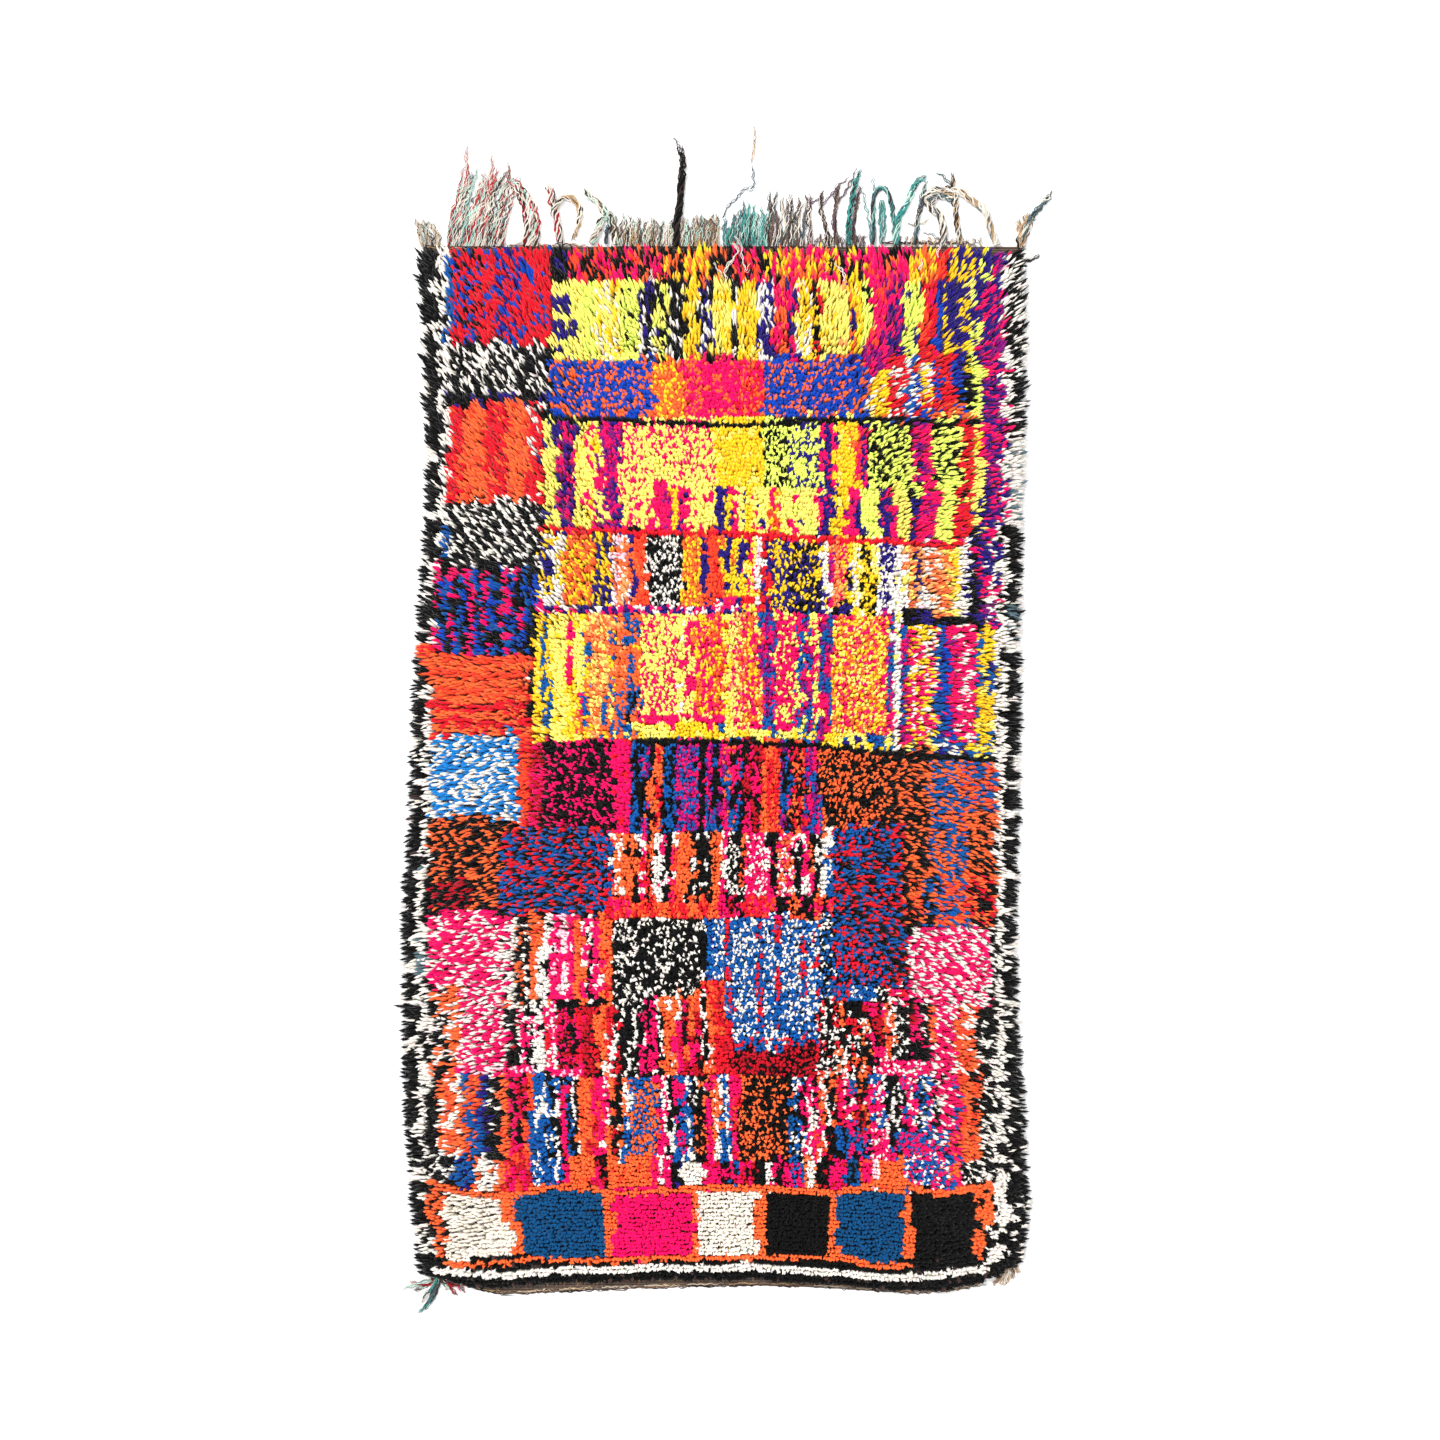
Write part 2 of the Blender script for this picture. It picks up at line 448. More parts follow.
    Band(168.5, 178, -4, (Runs(-1.5, "orange vermilion red"), Runs(1, "red vermilion crimson"))),
    Band(178, 184, -4, (Runs(-2, "orange white"), Runs(0.5, "vermilion orange"),
        Main(3, "red crimson"))),
    Band(181.5, 184.5, 3, (Runs(10.5, "azure red azure"), Runs(18.5, "azure red white"),
        Runs(26, "azure red black"))),
    Band(169.5, 174.5, 26, (Mixed(30, "azure red azure"), Mixed(40.5, "azure azure white"))),
    Band(156.5, 175.5, 44, (Mixed(62.5, "magenta white"),)),
    # Knotty strip
    Band(174, 190, -49.5, (Runs(-48.5, "black white"), Main(-46.5, "black crimson"),
        Runs(-45.5, "magenta white"), Runs(-43, "white magenta black"), Main(-41, "white black"),
        Runs(-39.5, "magenta white red"), Runs(-37.5, "white magenta"),
        Mixed(-34.5, "crimson magenta black"), Main(-33, "black crimson"), Runs(-31.5, "magenta red"),
        Main(-30, "crimson black"), Runs(-28.5, "red black crimson"), Main(-27, "orange vermilion"),
        Runs(-26, "white orange"), Runs(-24.5, "red crimson white"), Runs(-23, "white black red"),
        Main(-20.5, "black white"), Runs(-18, "white black"), Runs(-16.5, "magenta black magenta"),
        Main(-15, "magenta black"), Runs(-13, "black white"), Main(-11.5, "orange vermilion"),
        Main(-10, "orange white"), Main(-8.5, "magenta crimson"), Runs(-7.5, "crimson black"),
        Main(-6.5, "orange vermilion"), Runs(-5, "magenta crimson"), Runs(-4, "black crimson"),
        Runs(-3, "white black"), Main(-2, "orange vermilion"))),
    Band(171, 176, -23, (Runs(-20, "white black"), Mixed(-17.5, "black white"),
        Runs(-15, "magenta black white"), Runs(-9, "white orange"),
        Runs(-7, "magenta crimson black"), Runs(-4.5, "orange vermilion"), Runs(-3, "black white"))),
    Band(181.5, 190, -3, (Runs(-1, "orange vermilion white"), Main(3.5, "red crimson"))),
    Band(184, 190.5, 3, (Mixed(8.5, "crimson black crimson"), Mixed(22, "crimson black crimson"))),
    Band(173, 190, 22.5, (Runs(24, "red white black"), Runs(25.5, "white black"),
        Mixed(27, "black white red"), Runs(29.5, "black white orange"), Runs(32.5, "red black white"),
        Runs(34.5, "black white orange"), Runs(38, "crimson black magenta"),
        Runs(40.5, "orange vermilion white"), Mixed(42.5, "black white"),
        Mixed(44, "black white black"), Runs(45.5, "crimson magenta black"),
        Runs(47, "magenta black magenta"), Runs(48.5, "black white"))),
    Band(169.5, 173.5, 37, (Mixed(40, "black white"), Runs(42.5, "red white magenta"),
        Runs(44, "red magenta"))),
    Band(173, 176.5, 31, (Main(34, "black crimson"), Main(37, "magenta crimson"))),
    Band(183, 187, 44, (Main(48.5, "black magenta"),)),
    Band(187, 190, 36.5, (Mixed(53, "magenta white magenta"),)),
    Band(185, 187, 29, (Runs(32, "orange vermilion black"), Runs(35, "orange black"))),
    Band(174, 189.5, 48.5, (Main(49.5, "orange vermilion"), Mixed(52.5, "magenta magenta white"),
        Mixed(55, "magenta white"), Runs(59.5, "orange vermilion white"))),
    Band(188.5, 190, -61, (Mixed(-31.5, "pink magenta magenta"),)),
    # Mosaic strip
    Band(190, 210, -65, (Runs(-63.5, "orange white"), Runs(-62, "orange white vermilion"),
        Runs(-59.5, "white orange"), Runs(-58.5, "orange azure"), Runs(-56, "azure orange vermilion"),
        Runs(-54.5, "azure navy"), Runs(-53.5, "navy black"), Main(-51, "black white"),
        Main(-49, "orange vermilion"), Runs(-47.5, "magenta black magenta"),
        Runs(-44.5, "black magenta crimson"), Main(-43.5, "vermilion orange"), Main(-42.5, "azure teal"),
        Runs(-40, "white azure"), Runs(-38.5, "black azure"), Runs(-37.5, "azure white"),
        Runs(-36.5, "white black"), Main(-35, "magenta crimson"), Runs(-33.5, "black azure"),
        Runs(-32.5, "white black"), Main(-30, "orange vermilion"),
        Runs(-28.5, "magenta vermilion crimson"), Main(-27, "magenta vermilion"),
        Runs(-26, "white magenta"), Main(-25, "orange vermilion"), Main(-23, "black crimson"),
        Runs(-22, "orange white"), Runs(-21, "white azure"), Mixed(-17.5, "azure orange"),
        Mixed(-14.5, "orange orange azure"), Main(-13.5, "magenta vermilion"),
        Runs(-12.5, "magenta white"), Runs(-10.5, "white black"), Runs(-8, "azure magenta"),
        Runs(-6.5, "white azure"), Runs(-5.5, "black white"), Runs(-3, "black orange black"),
        Main(-2.5, "magenta white"), Main(-1.5, "magenta vermilion"), Runs(0.5, "orange white"),
        Runs(2.5, "azure white"), Main(3.5, "magenta vermilion"), Runs(4.5, "magenta red"),
        Mixed(9, "black orange"), Mixed(13, "orange black"), Mixed(16, "black orange black"),
        Runs(17, "azure teal"), Runs(19, "white azure black"), Runs(20, "magenta black magenta"),
        Runs(21.5, "white magenta"), Runs(23, "magenta black white"),
        Runs(24, "orange vermilion white"), Runs(26.5, "white black orange"),
        Runs(29, "magenta red black"), Runs(30.5, "white magenta"), Runs(31.5, "magenta azure"),
        Runs(34, "crimson black orange"), Main(35, "magenta white"),
        Runs(38, "azure white magenta"), Runs(42, "black white"),
        Mixed(43.5, "magenta azure magenta"), Mixed(45.5, "magenta magenta white"),
        Mixed(47.5, "white black azure"), Mixed(49, "azure white magenta"),
        Mixed(51, "magenta white black"), Mixed(54, "magenta magenta white"),
        Mixed(56, "magenta azure magenta"), Runs(58.5, "orange vermilion"),
        Runs(60.5, "orange black vermilion"), Mixed(63.5, "black white"))),
    Band(202.5, 210, 16, (Runs(19, "azure white black"), Runs(22, "white magenta"),
        Runs(24.5, "magenta vermilion white"), Main(27, "black crimson"), Runs(30, "azure black"),
        Runs(31.5, "magenta azure"), Runs(34.5, "azure magenta black"),
        Mixed(38.5, "white magenta magenta"), Runs(42.5, "black azure magenta"),
        Mixed(48.5, "magenta magenta azure"), Mixed(53, "white magenta azure"),
        Mixed(56, "magenta magenta orange"), Main(60.5, "orange vermilion"), Mixed(63.5, "black white"))),
    Band(209, 217, -65, (Mixed(-62, "black white"), Main(-57.5, "azure navy"),
        Runs(-56.5, "orange vermilion white"), Main(-52, "white orange"),
        Main(-50.5, "orange vermilion"), Runs(-43.5, "magenta crimson vermilion"),
        Mixed(-41.5, "azure white"), Runs(-36.5, "white azure azure"),
        Runs(-34.5, "magenta black magenta"), Main(-29.5, "orange vermilion"),
        Runs(-25.5, "magenta crimson black"), Main(-16, "orange vermilion"),
        Main(-14, "magenta vermilion"), Runs(-11.5, "magenta white"), Main(-8.5, "black navy"),
        Main(-3.5, "white cream"), Main(0, "magenta crimson"), Runs(4, "azure black magenta"),
        Runs(7, "magenta crimson"), Main(10.5, "black crimson"), Main(12, "white cream"),
        Runs(16, "magenta black magenta"), Runs(19, "azure magenta"),
        Runs(22, "orange white white"), Main(26, "black crimson"), Main(29, "magenta crimson"),
        Runs(32.5, "azure black teal"), Runs(35, "magenta vermilion"), Runs(37, "white pink"),
        Main(42.5, "orange vermilion"), Mixed(47, "magenta azure white"),
        Mixed(52, "magenta white azure"), Runs(56, "azure magenta orange"),
        Mixed(63.5, "black white"))),
    # Outlined squares along the lower edge, and the dark rows below them
    Band(216.5, 224.5, -67.5, (Main(-63.5, "orange black"), Mixed(-50, "cream"), Mixed(-47.5, "orange"),
        Mixed(-26.5, "teal"), Mixed(-24.5, "orange"), Mixed(-6, "magenta"), Mixed(-4.5, "orange"),
        Mixed(8.5, "cream"), Mixed(11, "orange"), Mixed(25.5, "black"), Mixed(27.5, "orange"),
        Mixed(42, "teal"), Mixed(44.5, "orange"), Mixed(59.5, "black"), Main(63.5, "orange black"))),
    Band(224.5, 233, -66, (Main(-63.5, "orange black"), Mixed(-47.5, "cream"), Mixed(-45, "orange"),
        Mixed(-26.5, "teal"), Mixed(-24.5, "orange"), Mixed(-6, "magenta"), Mixed(-4.5, "orange"),
        Mixed(8.5, "cream"), Mixed(10.5, "orange"), Mixed(25, "black"), Mixed(27.5, "orange"),
        Mixed(42.5, "teal"), Mixed(45, "orange"), Mixed(58.5, "black"), Main(61.5, "orange black"))),
    Band(232.2, 233.2, -72, (Main(30, "black"),)),
    Band(233, 250, -72, (Main(72, "black black umber"),)),
)

LINES = (
    Line(((-42.5, 37.0), (-39.0, 39.5), (-20.0, 40.0), (4.5, 41.0), (19.0, 40.0), (43.0, 39.5), (53.5, 41.0),
          (60.0, 40.5)), 1.15, "black"),
    Line(((-42.5, 64.5), (-20.0, 65.5), (8.5, 66.0), (22.0, 67.0), (37.5, 67.5), (55.0, 69.0)), 1.1, "red"),
    Line(((-19.0, 113.5), (-4.5, 113.5), (22.0, 114.5), (40.5, 116.5), (63.5, 118.0)), 1.2, "black"),
    Line(((51.5, 88.0), (53.0, 96.0), (52.0, 104.0), (54.0, 113.0)), 1.2, "cobalt"),
    Line(((55.5, 41.0), (58.5, 45.0), (55.5, 49.0), (58.0, 53.0), (55.0, 57.0), (57.5, 61.0), (55.0, 66.0)),
         1.0, "red"),
    Line(((-67, 214.5), (-60, 217), (-51, 218), (-46.5, 217.5), (-41, 216), (-36, 215.5), (-30.5, 216),
          (-25.5, 217), (-17.5, 217), (-3, 216), (11.5, 216), (16.5, 216.5), (27, 217), (32.5, 216),
          (37.5, 214.5), (41, 213.5), (43, 215), (45.5, 216.5), (51, 217.5), (56, 216.5), (62.5, 215.5)),
         1.5, "orange"),
    Line(((-63, 233.5), (-57, 234), (-49, 233.5), (-44, 232.5), (-36, 232.5), (-26.5, 232.5), (-12, 232),
          (29, 232), (32.5, 233), (36.5, 233.8), (44, 234)), 1.3, "orange"),
    Line(((-65.5, 235.2), (-57, 235.9), (-49, 236.3), (-41, 235.4), (-30.5, 234.8), (-15, 234.5),
          (11.5, 234.4), (22, 235.1), (29.5, 235.7), (36.5, 236.4), (43, 236.7), (48, 236.6),
          (53.5, 235.7), (61.5, 234.6)),
         1.75, "white"),
)


class Waver:
    """A smooth uneven field, from a coarse grid of random values, that moves edges as a hand does."""

    GRID = 256

    def __init__(self, rng: np.random.Generator, pitch: float) -> None:
        """Draws the field.

        Args:
            rng: Source of the random values.
            pitch: Distance between two values of the coarse grid, in metres.
        """
        self.values = rng.uniform(-1.0, 1.0, (self.GRID, self.GRID))
        self.pitch = pitch

    def at(self, across: np.ndarray, along: np.ndarray) -> np.ndarray:
        """The field's value, from -1 to 1, at places on the rug.

        Args:
            across: Places across, in metres.
            along: Places along the rug, in metres.

        Returns:
            One value for each place.
        """
        column = across / self.pitch + self.GRID / 2
        row = along / self.pitch + self.GRID / 2
        left, low = np.floor(column).astype(int), np.floor(row).astype(int)
        right_share = (column - left) ** 2 * (3.0 - 2.0 * (column - left))
        high_share = (row - low) ** 2 * (3.0 - 2.0 * (row - low))
        corner = [
            self.values[(low + up) % self.GRID, (left + aside) % self.GRID]
            for up in (0, 1) for aside in (0, 1)
        ]
        lower = corner[0] + right_share * (corner[1] - corner[0])
        upper = corner[2] + right_share * (corner[3] - corner[2])
        return lower + high_share * (upper - lower)


class Patchwork:
    """The blocks and lines of the rug, and which wool each lock takes.

    EDGE_WAVER and KNOT_SCATTER, in metres, are how far block edges wander and how far single knots stray.
    MAIN_SHARE is the share of a block's first wool. BULK is how thick a wool is beside the others, and
    ALTERNATE is how strongly neighbouring locks of a heathered block differ.
    """

    EDGE_WAVER = 0.0045
    KNOT_SCATTER = 0.0020
    MAIN_SHARE = {Work.HEATHER: 0.0, Work.STREAKS: 0.0, Work.ROWS: 0.0, Work.FLECKS: 0.84, Work.TEETH: 0.8}
    BULK = {"white": 0.82, "black": 1.28, "cobalt": 1.2, "azure": 1.25}
    ALTERNATE = 1.3
    DRAWN_OUT = {Work.HEATHER: 0.85, Work.STREAKS: 0.15, Work.FLECKS: 0.7, Work.TEETH: 0.8, Work.ROWS: 0.2}
    LOOSE = {Work.HEATHER: 0.8, Work.STREAKS: 0.3, Work.FLECKS: 0.3, Work.TEETH: 0.14, Work.ROWS: 0.6}

    def __init__(self, rng: np.random.Generator) -> None:
        """Keeps the chart with its uneven fields.

        Args:
            rng: Source of the unevenness.
        """
        self.rng = rng
        self.cells = [cell for band in BANDS for cell in band.cells]
        self.sideways = Waver(rng, 0.05)
        self.lengthways = Waver(rng, 0.06)
        self.fields = {
            Work.HEATHER: Waver(rng, 0.0085),
            Work.STREAKS: Waver(rng, 0.0058),
            Work.FLECKS: Waver(rng, 0.011),
            Work.TEETH: Waver(rng, 0.019),
            Work.ROWS: Waver(rng, 0.0085),
        }

    def draws(self, even: np.ndarray, visible: np.ndarray) -> dict[Work, np.ndarray]:
        """For each way of mixing, an uneven value for every lock, high where the later wools show.

        Args:
            even: 1 for every other lock and 0 for the rest.
            visible: Places of the locks' visible tops, across and down, in metres.

        Returns:
            The values by way of mixing.
        """
        across, down = visible.T
        values = {}
        for work, waver in self.fields.items():
            single = self.rng.uniform(-1.0, 1.0, len(across))
            values[work] = waver.at(across, down * self.DRAWN_OUT[work]) + self.LOOSE[work] * single
        values[Work.HEATHER] = values[Work.HEATHER] + self.ALTERNATE * even
        return values

    def cell_numbers(self, across: np.ndarray, down: np.ndarray) -> np.ndarray:
        """Which block each knot belongs to.

        Args:
            across: Places of the knots' visible tops across, in metres.
            down: The same, down from the upper edge.

        Returns:
            The number of a block for each knot.
        """
        scatter = self.rng.normal(0.0, self.KNOT_SCATTER, (2, len(across)))
        moved = (across + self.EDGE_WAVER * self.sideways.at(across, down) + scatter[0]) / CENTIMETRE
        lowered = (down + self.EDGE_WAVER * self.lengthways.at(across, down) + scatter[1]) / CENTIMETRE
        numbers = np.zeros(len(across), dtype=int)
        first = 0
        for band in BANDS:
            inside = (lowered >= band.top) & (lowered < band.foot) & (moved >= band.left)
            ends = np.array([cell.to for cell in band.cells])
            inside &= moved < ends[-1]
            numbers[inside] = first + np.searchsorted(ends, moved[inside], side="right")
            first += len(band.cells)
        return numbers

    def dye(self, numbers: np.ndarray, rows: np.ndarray, even: np.ndarray, visible: np.ndarray) -> np.ndarray:
        """The colour of each lock.

        Args:
            numbers: The block of each lock's knot.
            rows: The row that each lock is knotted in.
            even: 1 for every other lock and 0 for the rest.
            visible: Places of the locks' visible tops, across and down, in metres.

        Returns:
            A colour in linear light for each lock.
        """
        draws = self.draws(even, visible)
        colours = np.zeros((len(numbers), 3))
        for number, cell in enumerate(self.cells):
            chosen = np.flatnonzero(numbers == number)
            if not len(chosen):
                continue
            wools = np.array([WOOLS[name].linear() for name in cell.wools.split()])
            count = len(wools)
            bulk = np.array([self.BULK.get(name, 1.0) for name in cell.wools.split()])
            share = np.argsort(np.argsort(draws[cell.work][chosen])) / len(chosen)
            main = self.MAIN_SHARE[cell.work] if count > 1 else 0.0
            if main:
                pick = np.where(share < main, 0, 1 + np.floor((share - main) / (1.0 - main) * (count - 1)))
            elif cell.work is Work.ROWS:
                pick = (rows[chosen] + (share > 0.8)) % count
            else:
                pick = np.searchsorted(np.cumsum(bulk) / bulk.sum(), share, side="right")
            colours[chosen] = wools[np.clip(pick.astype(int), 0, count - 1)]
        for line in LINES:
            near = self.near_line(line, visible / CENTIMETRE)
            colours[near] = WOOLS[line.wools].linear()
        return colours

    @staticmethod
    def near_line(line: Line, places: np.ndarray) -> np.ndarray:
        """Which locks lie on a line of knots, all in centimetres.

        Args:
            line: The line.
            places: Places of the locks, across and down.

        Returns:
            True for each lock on the line.
        """
        nearest = np.full(len(places), np.inf)
        for start, end in zip(line.points[:-1], line.points[1:]):
            start_at, way = np.array(start), np.subtract(end, start)
            share = np.clip((places - start_at) @ way / (way @ way), 0.0, 1.0)
            gap = np.linalg.norm(places - start_at - share[:, None] * way, axis=1)
            nearest = np.minimum(nearest, gap)
        return nearest < line.width / 2


class Selvedge(NamedTuple):
    """Where the two side edges of the ground weave lie at a distance down from the top edge."""

    down: float
    left: float
    right: float


SELVEDGES = (
    Selvedge(0.00, -0.682, 0.689), Selvedge(0.35, -0.668, 0.689), Selvedge(0.58, -0.662, 0.681),
    Selvedge(0.81, -0.679, 0.678), Selvedge(1.04, -0.692, 0.676), Selvedge(1.27, -0.699, 0.673),
    Selvedge(1.50, -0.715, 0.668), Selvedge(1.73, -0.718, 0.670), Selvedge(1.96, -0.711, 0.684),
    Selvedge(2.19, -0.699, 0.697), Selvedge(2.33, -0.685, 0.685), Selvedge(2.41, -0.667, 0.653),
)


class LowerEdge(NamedTuple):
    """How far down the lower edge lies, and how wide the flat-woven end is, at a place across."""

    across: float
    down: float
    flat: float


LOWER_EDGE = (
    LowerEdge(-0.67, 2.366, 0.004), LowerEdge(-0.60, 2.384, 0.006), LowerEdge(-0.55, 2.399, 0.012),
    LowerEdge(-0.50, 2.408, 0.019), LowerEdge(-0.40, 2.404, 0.022), LowerEdge(-0.27, 2.398, 0.022),
    LowerEdge(-0.10, 2.391, 0.020), LowerEdge(0.10, 2.388, 0.018), LowerEdge(0.21, 2.391, 0.015),
    LowerEdge(0.31, 2.396, 0.012), LowerEdge(0.43, 2.404, 0.010), LowerEdge(0.53, 2.401, 0.008),
    LowerEdge(0.60, 2.386, 0.006), LowerEdge(0.65, 2.364, 0.005), LowerEdge(0.69, 2.338, 0.004),
)


class Lean(NamedTuple):
    """How far the pile's tips lie from their knots near a place, in millimetres, the place in centimetres."""

    across: float
    down: float
    aside: float
    upward: float


LEANS = (
    Lean(-62, 1, -12, 22), Lean(-36, 2, -9, 26), Lean(0, 2, -6, 26), Lean(40, 2, -6, 25), Lean(56, 2, 12, 22),
    Lean(67, 1, 20, 16), Lean(-55, 12, -14, 18), Lean(-55, 28, -14, 18), Lean(-36, 15, -11, 21),
    Lean(0, 15, -2, 23), Lean(36, 17, 8, 21), Lean(60, 15, 20, 18), Lean(-50, 45, -15, 16),
    Lean(-24, 32, -7, 9), Lean(0, 34, 0, 10), Lean(24, 33, 6, 9), Lean(42, 32, 18, 9), Lean(58, 34, 22, 5),
    Lean(-52, 66, -17, 13), Lean(-26, 52, -5, 11), Lean(0, 52, 0, 11), Lean(26, 52, 5, 11),
    Lean(52, 54, 19, 4),
    Lean(-55, 84, -20, 7), Lean(-36, 72, -9, 10), Lean(0, 75, 0, 10), Lean(32, 75, 5, 9), Lean(56, 76, 20, 1),
    Lean(-56, 103, -21, 1), Lean(-34, 98, -8, 8), Lean(0, 98, 0, 9), Lean(30, 98, 6, 7), Lean(54, 100, 20, 0),
    Lean(-57, 122, -21, -3), Lean(-34, 125, -12, 3), Lean(-8, 125, 0, 8), Lean(20, 125, 3, 7),
    Lean(54, 126, 20, -2), Lean(-57, 145, -21, -3), Lean(-40, 146, -17, -1), Lean(-12, 150, 0, 8),
    Lean(12, 150, 2, 7), Lean(34, 150, 14, 0), Lean(56, 150, 20, -5), Lean(-58, 170, -20, -2),
    Lean(-34, 168, -8, 5), Lean(-8, 172, -2, 7), Lean(22, 172, 3, 6), Lean(54, 172, 18, -5),
    Lean(-60, 195, -19, -1), Lean(-34, 192, -8, 4), Lean(0, 195, 0, 6), Lean(34, 195, 8, 2),
    Lean(60, 195, 18, -4), Lean(-60, 224, -14, 1), Lean(-30, 224, -3, 5), Lean(0, 224, 0, 5),
    Lean(30, 224, 3, 4), Lean(60, 224, 12, -1), Lean(0, 240, 0, -4), Lean(-50, 240, -5, -5),
    Lean(50, 240, 5, -5),
)


def column(table: tuple, name: str) -> list[float]:
    """One column of a table.

    Args:
        table: The table, a row for each entry.
        name: The column's name.

    Returns:
        The column's values in order.
    """
    return [getattr(row, name) for row in table]


class Layout:
    """Where the parts of the rug lie, from its own measure across and down to the part's frame."""

    LOWER_STRIP_FIRST = 0.606
    CLEARANCE = 0.0004

    def __init__(self) -> None:
        """Finds the middle of the upper edge in the part's frame from the part's own outlines."""
        self.shift_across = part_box("lower_right_warp_ends")[0][0] - self.LOWER_STRIP_FIRST
        self.shift_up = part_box("top_warp_ends")[0][1] - self.CLEARANCE

    def place(self, across: np.ndarray, down: np.ndarray) -> tuple[np.ndarray, np.ndarray]:
        """Places in the part's frame.

        Args:
            across: Distances across from the middle, in metres.
            down: Distances down from the upper edge, in metres.

        Returns:
            The X and Y of each place.
        """
        return np.asarray(across) + self.shift_across, self.shift_up - np.asarray(down)

    @staticmethod
    def lower_edge(across: np.ndarray) -> tuple[np.ndarray, np.ndarray]:
        """How far down the lower edge lies and where the pile ends.

        Args:
            across: Places across, in metres.

        Returns:
            How far down the edge lies and how far down the pile ends, for each place.
        """
        down = np.interp(across, column(LOWER_EDGE, "across"), column(LOWER_EDGE, "down"))
        flat = np.interp(across, column(LOWER_EDGE, "across"), column(LOWER_EDGE, "flat"))
        return down, down - flat

    def rug_point(self, across_share: np.ndarray, down_share: np.ndarray,
                  past_pile: np.ndarray | float = 0.0) -> tuple[np.ndarray, np.ndarray]:
        """Places on the ground weave at shares of its width and of its pile's length.

        Args:
            across_share: Shares of the width, from the left.
            down_share: Shares of the pile's length, from the top.
            past_pile: How far on from the end of the pile to the lower edge, from 0 to 1.

        Returns:
            Distances across and down, in metres.
        """
        first, last = LOWER_EDGE[0].across, LOWER_EDGE[-1].across
        lower, pile_end = self.lower_edge(first + across_share * (last - first))
        down = down_share * pile_end + past_pile * (lower - pile_end)
        left = np.interp(down, column(SELVEDGES, "down"), column(SELVEDGES, "left"))
        right = np.interp(down, column(SELVEDGES, "down"), column(SELVEDGES, "right"))
        return left + across_share * (right - left), down


@dataclass
class Lay:
    """The way that the pile leans, smoothly from place to place.

    Attributes:
        reach: How far each entry of LEANS is felt, in metres.
    """

    reach: float = 0.11

    def lean(self, across: np.ndarray, down: np.ndarray) -> np.ndarray:
        """How far the tips lie from their knots.

        Args:
            across: Places across, in metres.
            down: Places down from the upper edge, in metres.

        Returns:
            The lean across and up the rug for each place, in metres.
        """
        total = np.zeros((len(across), 2))
        weights = np.zeros(len(across))
        for lean in LEANS:
            gap_across = across - lean.across * CENTIMETRE
            gap_down = down - lean.down * CENTIMETRE
            weight = 1.0 / (gap_across ** 2 + gap_down ** 2 + self.reach ** 2 / 9.0) ** 2
            total += weight[:, None] * np.array([lean.aside, lean.upward]) / 1000.0
            weights += weight
        return total / weights[:, None]


